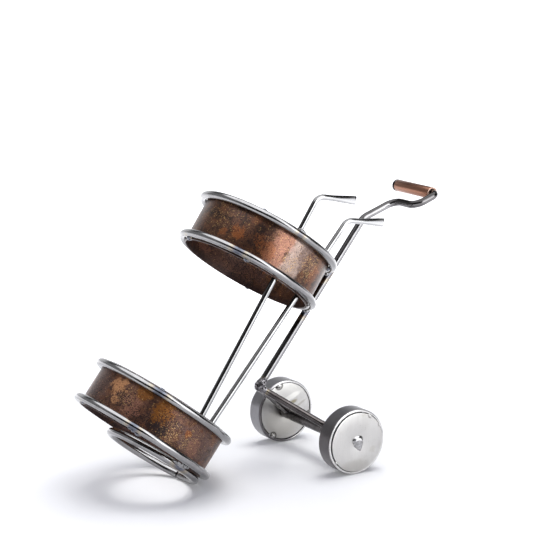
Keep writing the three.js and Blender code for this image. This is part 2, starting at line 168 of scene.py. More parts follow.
class Recipe:
    """A procedural finish that is put together from shader nodes."""

    MIX_FACTOR, MIX_FIRST, MIX_SECOND, MIX_RESULT = 0, 6, 7, 2

    def __init__(self, tree: bpy.types.NodeTree) -> None:
        """Empties a node tree to build in."""
        self.tree = tree
        tree.nodes.clear()

    def _add(self, kind: str, settings: dict | None, inputs: dict | None) -> bpy.types.Node:
        """Adds a node and fills it in.

        Args:
            kind: the node's type.
            settings: its properties, and under "stops" a ramp's positions and colours.
            inputs: values or shades by the socket's name or number.

        Returns:
            The node.
        """
        made = self.tree.nodes.new(kind)
        for key, value in (settings or {}).items():
            if key == "stops":
                self._set_stops(made.color_ramp, value)
            else:
                setattr(made, key, value)
        for key, value in (inputs or {}).items():
            socket = made.inputs[key]
            if isinstance(value, Shade):
                self.tree.links.new(value.socket, socket)
            else:
                socket.default_value = value
        return made

    def node(
        self, kind: str, settings: dict | None = None, inputs: dict | None = None, output: int | str = 0
    ) -> Shade:
        """Adds a node and wraps one of its outputs.

        Args:
            kind: the node's type.
            settings: its properties.
            inputs: values or shades by the socket's name or number.
            output: the output socket that the result wraps.

        Returns:
            The wrapped output.
        """
        return Shade(self, self._add(kind, settings, inputs).outputs[output])

    def glow(self, kind: str, strength: Shade | float, tone: Tone = (1.0, 1.0, 1.0)) -> Shade:
        """Light of a strength and tone, from an emission or background node."""
        return self.node(kind, {}, {"Color": (*tone, 1.0), "Strength": strength})

    def end(self, kind: str, shader: Shade) -> None:
        """Leads a shader into an output node of a kind."""
        self._add(kind, None, {"Surface": shader})

    @staticmethod
    def _set_stops(ramp: bpy.types.ColorRamp, stops: Sequence[tuple]) -> None:
        """Gives a ramp its positions and colours.

        Args:
            ramp: the ramp.
            stops: its positions and colours.
        """
        while len(ramp.elements) < len(stops):
            ramp.elements.new(1.0)
        for element, (position, colour) in zip(ramp.elements, stops):
            element.position = position
            element.color = (*colour, 1.0) if len(colour) == 3 else colour

    def mix(self, amount: Shade | float, first: Shade | Tone, second: Shade | Tone) -> Shade:
        """Mixes two colours.

        Args:
            amount: how much of the second colour, from 0 to 1.
            first: the colour below.
            second: the colour on top.

        Returns:
            The mixed colour.
        """
        colours = [c if isinstance(c, Shade) else (*c, 1.0) for c in (first, second)]
        return self.node(
            "ShaderNodeMix",
            {"data_type": "RGBA", "clamp_factor": True},
            {self.MIX_FACTOR: amount, self.MIX_FIRST: colours[0], self.MIX_SECOND: colours[1]},
            self.MIX_RESULT,
        )

    def vector(self, operation: str, *values: Shade | Sequence[float], output: int | str = 0) -> Shade:
        """Adds a Vector Math node.

        Args:
            operation: what it works out.
            values: its vectors.
            output: the output socket that is wanted.

        Returns:
            The result.
        """
        settings = {"operation": operation}
        return self.node("ShaderNodeVectorMath", settings, dict(enumerate(values)), output)

    def scaled(self, vector: Shade, factor: float) -> Shade:
        """A vector times a number."""
        return self.node("ShaderNodeVectorMath", {"operation": "SCALE"}, {0: vector, "Scale": factor})

    def place(self) -> Shade:
        """The point on the piece, in the model's frame."""
        return self.node("ShaderNodeTexCoord", output="Object")

    def run(self) -> Shade:
        """The point as length along a rod and offsets across it."""
        return self.node("ShaderNodeAttribute", {"attribute_name": RUN_COORDS}, output="Vector")

    def split(self, vector: Shade) -> tuple[Shade, Shade, Shade]:
        """The three parts of a vector."""
        parts = self.node("ShaderNodeSeparateXYZ", {}, {0: vector})
        return parts, parts.part("Y"), parts.part("Z")

    def noise(self, where: Shade, grain: float, detail: float, rough: float, warp: float = 0.0) -> Shade:
        """Cloudy noise whose features are about grain across.

        Args:
            where: the point.
            grain: the size of a feature.
            detail: how many finer layers lie on it.
            rough: how strong the finer layers are.
            warp: how far the noise bends itself.

        Returns:
            A value from 0 to 1 that is mostly near a half.
        """
        values = {
            "Vector": where, "Scale": 1.0 / grain, "Detail": detail, "Roughness": rough, "Distortion": warp,
        }
        return self.node("ShaderNodeTexNoise", {"noise_dimensions": "3D"}, values)

    def stretched(self, where: Shade, scale: Sequence[float]) -> Shade:
        """A point with its three parts scaled, for grain that is drawn out."""
        return self.node("ShaderNodeMapping", {"vector_type": "POINT"}, {"Vector": where, "Scale": scale})

    def seen_from(self, placed: Matrix) -> Shade:
        """The point on the piece, in a frame of its own.

        Args:
            placed: that frame, in the model's frame.

        Returns:
            The point.
        """
        inputs = {
            "Vector": self.place(),
            "Location": tuple(placed.translation),
            "Rotation": tuple(placed.to_euler()),
        }
        return self.node("ShaderNodeMapping", {"vector_type": "TEXTURE"}, inputs)

    def shifted(self, where: Shade, step: float) -> Shade:
        """The same point elsewhere in a noise, so that two noises don't follow each other."""
        return self.vector("ADD", where, (step, 0.6 * step, 1.7 * step))

    def moved(self, where: Shade, noise_grain: float, reach: float) -> Shade:
        """Pushes points about, so that what is drawn there gets a ragged edge.

        Args:
            where: the point.
            noise_grain: the size of the raggedness.
            reach: how far a point moves at most.

        Returns:
            The moved point.
        """
        push = self.noise(where, noise_grain, 4.0, 0.65).part("Color")
        centred = self.vector("SUBTRACT", push, (0.5, 0.5, 0.5))
        return self.vector("ADD", where, self.scaled(centred, 2 * reach))

    def distance(self, where: Shade, point: Sequence[float]) -> Shade:
        """How far a point is from a fixed one."""
        return self.vector("DISTANCE", where, tuple(point), output="Value")

    def bumped(self, height: Shade, depth: float, strength: float) -> Shade:
        """A normal that follows a height.

        Args:
            height: the height, from 0 to 1.
            depth: what a height of 1 stands for.
            strength: how much of it shows.

        Returns:
            The normal.
        """
        return self.node("ShaderNodeBump", {}, {"Strength": strength, "Distance": depth, "Height": height})


def surface(name: str, colour: Tone) -> tuple[bpy.types.Material, Recipe]:
    """Starts a material.

    Args:
        name: its name.
        colour: the plain colour that stands for it in a solid view.

    Returns:
        The material and the recipe that fills it.
    """
    material = bpy.data.materials.new(name)
    material.use_nodes = True
    material.diffuse_color = (*colour, 1.0)
    return material, Recipe(material.node_tree)


def finish_surface(recipe: Recipe, **inputs: Shade | float | Sequence[float]) -> None:
    """Ends a material with a Principled shader.

    Args:
        recipe: the recipe to end.
        inputs: values or shades by the socket's name, with _ for a blank.
    """
    values = {key.replace("_", " "): value for key, value in inputs.items()}
    shader = recipe.node("ShaderNodeBsdfPrincipled", {}, values)
    recipe.end("ShaderNodeOutputMaterial", shader)


# Finishes

@dataclass(frozen=True)
class Layer:
    """Noise laid over a metal: its grain, where it sets in and is full, its share, and its make."""

    grain: float
    sets_in: float
    full: float
    share: float = 1.0
    detail: float = 4.0
    rough: float = 0.6
    warp: float = 0.0

    def noise(self, recipe: Recipe, where: Shade) -> Shade:
        """The layer's noise at a point."""
        return recipe.noise(where, self.grain, self.detail, self.rough, self.warp)

    def cover(self, noise: Shade) -> Shade:
        """How much of the layer shows where its noise has a value."""
        return noise.rise(self.sets_in, self.full) * self.share


@dataclass(frozen=True)
class HotSpot:
    """A place that a weld has heated."""

    centre: Vector
    reach: float = 9 * MM


HEAT_STOPS = (
    (0.00, (0.060, 0.060, 0.068, 0.80)),
    (0.22, (0.055, 0.058, 0.075, 0.92)),
    (0.38, (0.085, 0.100, 0.140, 0.75)),
    (0.50, (0.13, 0.105, 0.105, 0.55)),
    (0.64, (0.32, 0.25, 0.145, 0.50)),
    (0.82, (0.40, 0.35, 0.25, 0.28)),
    (1.00, (0.40, 0.38, 0.33, 0.00)),
)
FOOT_STOPS = (
    (0.00, (0.30, 0.30, 0.30, 0.0)),
    (0.56, (0.10, 0.095, 0.09, 0.0)),
    (0.68, (0.025, 0.023, 0.023, 0.9)),
    (0.84, (0.060, 0.055, 0.050, 0.7)),
    (1.00, (0.20, 0.18, 0.14, 0.0)),
)
HEAT_GRAIN = 3.5 * MM
HEAT_RAGGED = 0.9 * MM
FOOT_RAGGED = 0.25 * MM


def heat_tint(
    recipe: Recipe,
    place: Shade,
    base: Shade,
    spots: Iterable[HotSpot],
    stops: Sequence[tuple] = HEAT_STOPS,
    ragged: float = HEAT_RAGGED,
) -> Shade:
    """Lays the oxide colours of a weld's heat over a metal, from grey scale through blue to straw.

    Args:
        recipe: the finish.
        place: the point.
        base: the metal's colour.
        spots: the welds.
        stops: the colours from a weld's middle outwards.
        ragged: how far their edges stray.

    Returns:
        The tinted colour.
    """
    strayed = recipe.moved(place, HEAT_GRAIN, ragged)
    nearest: Shade | None = None
    for spot in spots:
        share = recipe.distance(strayed, spot.centre) / spot.reach
        nearest = share if nearest is None else nearest.least(share)
    if nearest is None:
        return base
    tint = recipe.node("ShaderNodeValToRGB", {"stops": stops}, {0: nearest}, "Color")
    return recipe.mix(tint.part("Alpha"), base, tint)


@dataclass(frozen=True)
class DrawnSteel:
    """Bright drawn rod, marked with fine streaks along its length and clear lacquered.

    It can carry a painted dark reflection on one side, and a painted tone from some length on: a painted
    highlight on club heads, painted shade on a handle.
    """

    name: str = "drawn_steel"
    bright: Tone = (0.30, 0.296, 0.30)
    dull: Tone = (0.145, 0.139, 0.139)
    roughness: float = 0.18
    spots: tuple[HotSpot, ...] = ()
    # The next five fields paint a dark reflection on one side of the rod.
    painted_dark_side: float = 0.0
    radius: float = 2.4 * MM
    painted_dark_tone: Tone = (0.022, 0.020, 0.020)
    dark_side_edge: tuple[float, float] = (0.30, 0.72)
    dark_side_ragged: float = 0.8 * MM
    # The next four fields paint another tone from some length on: a painted highlight on club heads, painted
    # shade on a handle.
    stretch_from: float = 0.0
    stretch_fade: float = 9 * MM
    stretch_tone: Tone = (0.070, 0.062, 0.062)
    stretch_cover: float = 0.0
    drawn_out: float = 0.035
    streaks: Layer = Layer(0.55 * MM, 0.40, 0.66, 0.20)
    clouds: Layer = Layer(9 * MM, 0.42, 0.7, 0.30)
    flecks: Layer = Layer(0.8 * MM, 0.62, 0.7, 0.25, 2.0, 0.5)

    def make(self) -> bpy.types.Material:
        """Builds the material.

        Returns:
            The material.
        """
        material, recipe = surface(self.name, self.bright)
        place = recipe.place()
        run = recipe.run()
        streak = self.streaks.noise(recipe, recipe.stretched(run, (self.drawn_out, 1.0, 1.0)))
        cloud = self.clouds.noise(recipe, place)
        fleck = self.flecks.noise(recipe, place)
        wear = self.streaks.cover(streak) + self.clouds.cover(cloud) + self.flecks.cover(fleck)
        steel = recipe.mix(wear, self.bright, self.dull)
        # Painted light: past a length the rod takes another tone, as a painted highlight or painted shade,
        # whichever the caller sets.
        if self.stretch_cover:
            stretch = recipe.split(run)[0].rise(self.stretch_from, self.stretch_from + self.stretch_fade)
            steel = recipe.mix(stretch * self.stretch_cover, steel, self.stretch_tone)
        # Painted reflection: the side of the rod that faces the bag is darkened, as a dark reflection would
        # darken it.
        if self.painted_dark_side:
            towards = (recipe.split(run)[1] + (streak - 0.5) * self.dark_side_ragged) / self.radius
            steel = recipe.mix(towards.rise(*self.dark_side_edge) * self.painted_dark_side, steel, self.painted_dark_tone)
        colour = heat_tint(recipe, place, steel, self.spots)
        rough = streak * 0.08 + cloud * 0.12 + (self.roughness - 0.09)
        normal = recipe.bumped(streak + fleck * 0.5, 0.02 * MM, 0.25)
        finish_surface(
            recipe, Base_Color=colour, Metallic=1.0, Roughness=rough, Normal=normal,
            Coat_Weight=0.25, Coat_Roughness=0.12,
        )
        return material


@dataclass(frozen=True)
class DarkSteel:
    """Rod and tube that heat and lacquer have left dark brown grey."""

    name: str = "dark_steel"
    bright: Tone = (0.115, 0.101, 0.099)
    dark: Tone = (0.030, 0.025, 0.025)
    roughness: float = 0.25
    spots: tuple[HotSpot, ...] = ()
    drawn_out: float = 0.05
    streaks: Layer = Layer(1.0 * MM, 0.35, 0.65, 0.55)
    clouds: Layer = Layer(7 * MM, 0.35, 0.7, 0.45)

    def make(self) -> bpy.types.Material:
        """Builds the material.

        Returns:
            The material.
        """
        material, recipe = surface(self.name, self.bright)
        place = recipe.place()
        streak = self.streaks.noise(recipe, recipe.stretched(recipe.run(), (self.drawn_out, 1.0, 1.0)))
        cloud = self.clouds.noise(recipe, place)
        steel = recipe.mix(self.streaks.cover(streak) + self.clouds.cover(cloud), self.bright, self.dark)
        colour = heat_tint(recipe, place, steel, self.spots)
        rough = streak * 0.15 + (self.roughness - 0.05)
        normal = recipe.bumped(streak, 0.03 * MM, 0.35)
        finish_surface(
            recipe, Base_Color=colour, Metallic=1.0, Roughness=rough, Normal=normal,
            Coat_Weight=0.3, Coat_Roughness=0.15,
        )
        return material


@dataclass(frozen=True)
class PaintedLight:
    """A soft patch of painted light on a disc, darker as shade and lighter as a reflection: place and half
    sizes in millimetres, turn, colour and cover.
    """

    at: tuple[float, float]
    half: tuple[float, float]
    turn: float
    tone: Tone
    cover: float


@dataclass(frozen=True)
class SheetSteel:
    """Satin sheet steel with faint smudges and specks, a dark foot round each tack, and patches of painted
    shade and reflection.
    """

    name: str
    centre: Vector
    spots: tuple[HotSpot, ...]
    painted_lights: tuple[PaintedLight, ...]
    pale: Tone = (0.56, 0.55, 0.535)
    dull: Tone = (0.42, 0.41, 0.395)
    stain: Tone = (0.30, 0.27, 0.19)
    roughness: float = 0.34
    brushed_out: float = 0.06
    brushes: Layer = Layer(0.5 * MM, 0.4, 0.7, 0.16, 3.0)
    smudges: Layer = Layer(14 * MM, 0.42, 0.72, 0.5, 3.0, 0.55, 0.6)
    specks: Layer = Layer(1.1 * MM, 0.66, 0.72, 0.5, 2.0, 0.5)
    stains: Layer = Layer(10 * MM, 0.58, 0.75, 0.3)
    painted_light_grain: float = 4 * MM
    painted_light_ragged: float = 0.8 * MM

    def _with_painted_light(self, recipe: Recipe, place: Shade, colour: Shade) -> Shade:
        """Lays the patches of painted shade and reflection over a colour, one after another.

        Args:
            recipe: the finish.
            place: the point.
            colour: the colour below.

        Returns:
            The stained colour.
        """
        offset = recipe.vector("SUBTRACT", place, tuple(self.centre))
        x, _, z = recipe.split(recipe.moved(offset, self.painted_light_grain, self.painted_light_ragged))
        for light_patch in self.painted_lights:
            cosine, sine = math.cos(math.radians(light_patch.turn)), math.sin(math.radians(light_patch.turn))
            right = x - light_patch.at[0] * MM
            up = z - light_patch.at[1] * MM
            along = (right * cosine + up * sine) / (light_patch.half[0] * MM)
            across = (up * cosine - right * sine) / (light_patch.half[1] * MM)
            inside = 1.0 - (along * along + across * across)
            colour = recipe.mix(inside.rise(0.0, 0.8) * light_patch.cover, colour, light_patch.tone)
        return colour

    def make(self) -> bpy.types.Material:
        """Builds the material.

        Returns:
            The material.
        """
        material, recipe = surface(self.name, self.pale)
        place = recipe.place()
        brush = self.brushes.noise(recipe, recipe.stretched(place, (1.0, 1.0, self.brushed_out)))
        smudge = self.smudges.noise(recipe, place)
        speck = self.specks.noise(recipe, place)
        wear = self.smudges.cover(smudge) + self.brushes.cover(brush) + self.specks.cover(speck)
        steel = recipe.mix(wear, self.pale, self.dull)
        stained = recipe.mix(self.stains.cover(self.stains.noise(recipe, place)), steel, self.stain)
        # Painted light: patches of shade and reflection are laid over the stained steel.
        lit_and_shaded = self._with_painted_light(recipe, place, stained)
        colour = heat_tint(recipe, place, lit_and_shaded, self.spots, FOOT_STOPS, FOOT_RAGGED)
        rough = smudge * 0.22 + brush * 0.08 + (self.roughness - 0.15)
        normal = recipe.bumped(brush + smudge * 0.6, 0.02 * MM, 0.3)
        finish_surface(recipe, Base_Color=colour, Metallic=1.0, Roughness=rough, Normal=normal)
        return material


@dataclass(frozen=True)
class RimSteel:
    """Satin tube steel with bright ground ends and a dark bore.

    One rim has painted shade on the lower side of its wall, and another has painted shade on one side of its
    ends.
    """

    name: str
    centre: Vector
    # The next two fields set painted shade on one side of the wall and on one side of the ends.
    painted_dark_side: float = 0.0
    painted_end_shade: float = 0.0
    half_width: float = 5.9 * MM
    pale: Tone = (0.245, 0.24, 0.252)
    dull: Tone = (0.17, 0.165, 0.172)
    # The tone of the painted shade on wall and ends.
    painted_dark_tone: Tone = (0.125, 0.114, 0.118)
    ground_end: Tone = (0.62, 0.61, 0.60)
    end_edge: tuple[float, float] = (0.5 * MM, 0.2 * MM)
    # The next three fields darken the bore as painted shade.
    bore_painted_shade: Tone = (0.015, 0.014, 0.014)
    bore_radius: float = 19.3 * MM
    bore_edge: float = 0.15 * MM
    roughness: float = 0.36
    brushed_out: float = 0.12
    brushes: Layer = Layer(0.6 * MM, 0.4, 0.7, 0.25)
    clouds: Layer = Layer(12 * MM, 0.42, 0.7, 0.5)
    specks: Layer = Layer(1.0 * MM, 0.64, 0.72, 0.4, 2.0, 0.5)

    def _ground(self, recipe: Recipe, place: Shade, cloud: Shade, speck: Shade, colour: Shade) -> Shade:
        """Lays the bright ground ends and their painted shade over a colour.

        Args:
            recipe: the finish.
            place: the point from the rim's middle.
            cloud: the cloudy noise there.
            speck: the fine noise there.
            colour: the colour below.

        Returns:
            The colour with the ends on it.
        """
        x, y, z = recipe.split(place)
        end = y.size().rise(*(self.half_width - edge for edge in self.end_edge))
        # Painted shade: one side of the ends is darkened and loses its ground brightness there.
        side = cloud * (16 * MM) - x * self.painted_end_shade - z * 0.4 * self.painted_end_shade
        end_shade_mask = side.rise(8 * MM, 17 * MM)
        clean = (1.0 - speck.rise(0.6, 0.7) * 0.6) * (1.0 - end_shade_mask)
        colour = recipe.mix(end * clean, colour, self.ground_end)
        return recipe.mix(end * end_shade_mask * 0.8, colour, self.painted_dark_tone)

    def make(self) -> bpy.types.Material:
        """Builds the material.

        Returns:
            The material.
        """
        material, recipe = surface(self.name, self.pale)
        place = recipe.vector("SUBTRACT", recipe.place(), tuple(self.centre))
        x, _, z = recipe.split(place)
        brush = self.brushes.noise(recipe, recipe.stretched(place, (self.brushed_out, 1.0, self.brushed_out)))
        cloud = self.clouds.noise(recipe, place)
        speck = self.specks.noise(recipe, place)
        wear = self.clouds.cover(cloud) + self.brushes.cover(brush) + self.specks.cover(speck)
        colour = recipe.mix(wear, self.pale, self.dull)
        # Painted shade: the wall darkens towards its lower side.
        if self.painted_dark_side:
            side = (cloud * (8 * MM) - x * 0.7 - z).rise(-11 * MM, 12 * MM)
            colour = recipe.mix(side * self.painted_dark_side, colour, self.painted_dark_tone)
        colour = self._ground(recipe, place, cloud, speck, colour)
        # Painted shade: the inside of the bore is darkened.
        reach = recipe.vector("LENGTH", recipe.vector("MULTIPLY", place, (1, 0, 1)), output="Value")
        bore = 1.0 - reach.rise(self.bore_radius, self.bore_radius + self.bore_edge)
        colour = recipe.mix(bore * 0.95, colour, self.bore_painted_shade)
        rough = cloud * 0.18 + brush * 0.08 + (self.roughness - 0.12)
        normal = recipe.bumped(brush + cloud * 0.4, 0.02 * MM, 0.3)
        finish_surface(
            recipe, Base_Color=colour, Metallic=1.0, Roughness=rough, Normal=normal,
            Coat_Weight=0.15, Coat_Roughness=0.2,
        )
        return material


@dataclass(frozen=True)
class WeldMetal:
    """Rippled weld metal: bright where it is proud, sooty in its hollows and at its foot."""

    name: str = "weld_metal"
    bright: Tone = (0.34, 0.337, 0.342)
    soot: Tone = (0.060, 0.058, 0.062)
    roughness: float = 0.24
    relief: float = 0.6
    sooted: float = 0.45
    lumps: Layer = Layer(1.6 * MM, 0.42, 0.6, warp=0.4)
    pits: Layer = Layer(0.5 * MM, 0.58, 0.7, 0.3, 2.0, 0.5)

    def make(self) -> bpy.types.Material:
        """Builds the material.

        Returns:
            The material.
        """
        material, recipe = surface(self.name, self.bright)
        place = recipe.place()
        lump = self.lumps.noise(recipe, place)
        pit = self.pits.noise(recipe, place)
        cover = self.lumps.cover(lump) * self.sooted + self.pits.cover(pit)
        colour = recipe.mix(cover, self.bright, self.soot)
        rough = lump * 0.3 + (self.roughness - 0.12)
        normal = recipe.bumped(lump + pit * 0.4, 0.25 * MM, self.relief)
        finish_surface(
            recipe, Base_Color=colour, Metallic=1.0, Roughness=rough, Normal=normal,
            Coat_Weight=0.3, Coat_Roughness=0.1,
        )
        return material


class Mark(Enum):
    """What a flame leaves on copper, and a painted sheen."""

    OCHRE = (0.56, 0.27, 0.125)
    AMBER = (0.25, 0.092, 0.018)
    ORANGE = (0.30, 0.100, 0.036)
    ROSE = (0.33, 0.155, 0.105)
    # A painted sheen, not a flame mark.
    PAINTED_SHEEN = (0.60, 0.465, 0.40)
    DUSK = (0.155, 0.092, 0.078)
    SOOT = (0.020, 0.013, 0.014)


@dataclass(frozen=True)
class Patch:
    """A flame mark on a band: its angle, and its height and reach in millimetres from its middle."""

    mark: Mark
    angle: float
    height: float
    reach: float
    cover: float = 1.0
    torn: float = 1.0


@dataclass(frozen=True)
class AgedCopper:
    """Copper sheet coloured with a flame: mottled brown with patches, soot specks and gold flecks, and darker
    rims that are partly flux and partly painted shadow under the hoops.
    """

    name: str
    centre: Matrix
    radius: float
    half_height: float
    patches: tuple[Patch, ...]
    speckled: tuple[Patch, ...]
    flecked: tuple[Patch, ...]
    ground: Tone = (0.150, 0.072, 0.048)
    rust: Tone = (0.205, 0.086, 0.044)
    deep: Tone = (0.040, 0.021, 0.016)
    gold: Tone = (0.66, 0.40, 0.16)
    roughness: float = 0.40
    sheen: float = 0.50
    lacquer: float = 0.06
    # The next two fields darken the band's rims: flux marks, and painted shadow where the hoops hold it.
    flux_and_shadow_width: float = 4 * MM
    flux_and_shadow_ragged: float = 3 * MM
    tear_depth: float = 3.4
    clouds: Layer = Layer(16 * MM, 0.42, 0.60, 1.0, 7.0, 0.66, 0.8)
    mottles: Layer = Layer(7 * MM, 0.42, 0.62, 0.9, 8.0, 0.72, 0.4)
    tears: Layer = Layer(6 * MM, 0.0, 0.30, 1.0, 9.0, 0.74, 0.3)
    smuts: Layer = Layer(1.8 * MM, 0.54, 0.70, 0.5, 4.0, 0.65)
    grains: Layer = Layer(0.6 * MM, 0.42, 0.62, 0.34, 3.0)
    sparks: Layer = Layer(0.62 * MM, 0.65, 0.70, 0.8, 2.0, 0.5)
    dots: Layer = Layer(0.75 * MM, 0.61, 0.66, 1.0, 2.0, 0.5)

    def _near(self, recipe: Recipe, where: Shade, patch: Patch) -> Shade:
        """How deep a point lies inside a patch: 1 at its middle, 0 at its edge, less outside.

        Args:
            recipe: the finish.
            where: the point in the band's frame.
            patch: the patch.

        Returns:
            The depth.
        """
        spot = polar(self.radius, patch.angle, patch.height * MM)
        return 1.0 - recipe.distance(where, spot) / (patch.reach * MM)

    def _spread(self, recipe: Recipe, where: Shade, patches: Iterable[Patch]) -> Shade:
        """The largest soft cover of several patches.

        Args:
            recipe: the finish.
            where: the point in the band's frame.
            patches: the patches.

        Returns:
            The cover.
        """
        covers = [self._near(recipe, where, patch).rise(-0.3, 0.6) * patch.cover for patch in patches]
        total = covers[0]
        for cover in covers[1:]:
            total = total.most(cover)
        return total

    def make(self) -> bpy.types.Material:
        """Builds the material.

        Returns:
            The material.
        """
        material, recipe = surface(self.name, self.ground)
        place = recipe.seen_from(self.centre)
        mottle = self.mottles.noise(recipe, recipe.shifted(place, 0.21))
        tear = (self.tears.noise(recipe, recipe.shifted(place, 0.47)) - 0.5) * self.tear_depth
        smut = self.smuts.noise(recipe, place)
        dot = self.dots.noise(recipe, place)
        spark = self.sparks.noise(recipe, recipe.shifted(place, 0.31))
        colour = recipe.mix(self.clouds.cover(self.clouds.noise(recipe, place)), self.ground, self.rust)
        colour = recipe.mix(self.mottles.cover(mottle), colour, self.deep)
        for patch in self.patches:
            inside = self._near(recipe, place, patch) + tear * patch.torn
            colour = recipe.mix(self.tears.cover(inside) * patch.cover, colour, patch.mark.value)
        colour = recipe.mix(self.smuts.cover(smut), colour, self.deep)
        grain = self.grains.noise(recipe, recipe.shifted(place, 0.77))
        colour = recipe.mix(self.grains.cover(grain), colour, self.deep)
        gilt = self.sparks.cover(spark + self._spread(recipe, place, self.flecked) * 0.12)
        colour = recipe.mix(gilt, colour, self.gold)
        specks = self.dots.cover(dot + self._spread(recipe, place, self.speckled) * 0.14)
        colour = recipe.mix(specks * 0.92, colour, Mark.SOOT.value)
        # The rims darken: partly flux, partly painted shadow where the hoops hold the band.
        height = recipe.split(place)[2].size() + smut * self.flux_and_shadow_ragged
        edge = height.rise(self.half_height - self.flux_and_shadow_width, self.half_height)
        colour = recipe.mix(edge * 0.65, colour, Mark.SOOT.value)
        rough = smut * 0.24 + (self.roughness - 0.12)
        normal = recipe.bumped(mottle * 0.7 + smut + dot * 0.3, 0.06 * MM, 0.4)
        finish_surface(
            recipe, Base_Color=colour, Metallic=self.sheen - specks * 0.3, Roughness=rough, Normal=normal,
            Specular_IOR_Level=0.15, Coat_Weight=self.lacquer, Coat_Roughness=0.16,
        )
        return material


@dataclass(frozen=True)
class BrightCopper:
    """Satin copper tube, worn round by the hand and dulled in places, with a painted highlight on its ends.
    """

    ends: tuple[float, float]
    name: str = "bright_copper"
    bright: Tone = (0.30, 0.145, 0.096)
    dull: Tone = (0.15, 0.072, 0.047)
    # The next two fields paint a highlight on the end faces.
    end_highlight: Tone = (0.80, 0.54, 0.42)
    end_highlight_edge: tuple[float, float] = (0.15 * MM, 0.4 * MM)
    roughness: float = 0.30
    drawn_out: float = 0.05
    streaks: Layer = Layer(0.7 * MM, 0.45, 0.7, 0.35)
    clouds: Layer = Layer(5 * MM, 0.5, 0.75, 0.3)
    specks: Layer = Layer(0.9 * MM, 0.66, 0.72, 0.3, 2.0, 0.5)

    def make(self) -> bpy.types.Material:
        """Builds the material.

        Returns:
            The material.
        """
        material, recipe = surface(self.name, self.bright)
        place = recipe.place()
        streak = self.streaks.noise(recipe, recipe.stretched(place, (1.0, self.drawn_out, 1.0)))
        cloud = self.clouds.noise(recipe, place)
        speck = self.specks.noise(recipe, place)
        wear = self.streaks.cover(streak) + self.clouds.cover(cloud) + self.specks.cover(speck)
        # Painted highlight: the end faces are painted pale, as a lit edge.
        y = recipe.split(place)[1]
        low, high = self.ends
        outer, inner = self.end_highlight_edge
        end = (1.0 - y.rise(low + outer, low + inner)).most(y.rise(high - inner, high - outer))
        colour = recipe.mix(wear, self.bright, self.dull)
        colour = recipe.mix(end * 0.9, colour, self.end_highlight)
        rough = cloud * 0.12 + end * 0.2 + (self.roughness - 0.06)
        normal = recipe.bumped(streak, 0.03 * MM, 0.35)
        finish_surface(recipe, Base_Color=colour, Metallic=1.0 - end * 0.6, Roughness=rough, Normal=normal)
        return material


# The bench: Blender's modelling tools, used as by hand

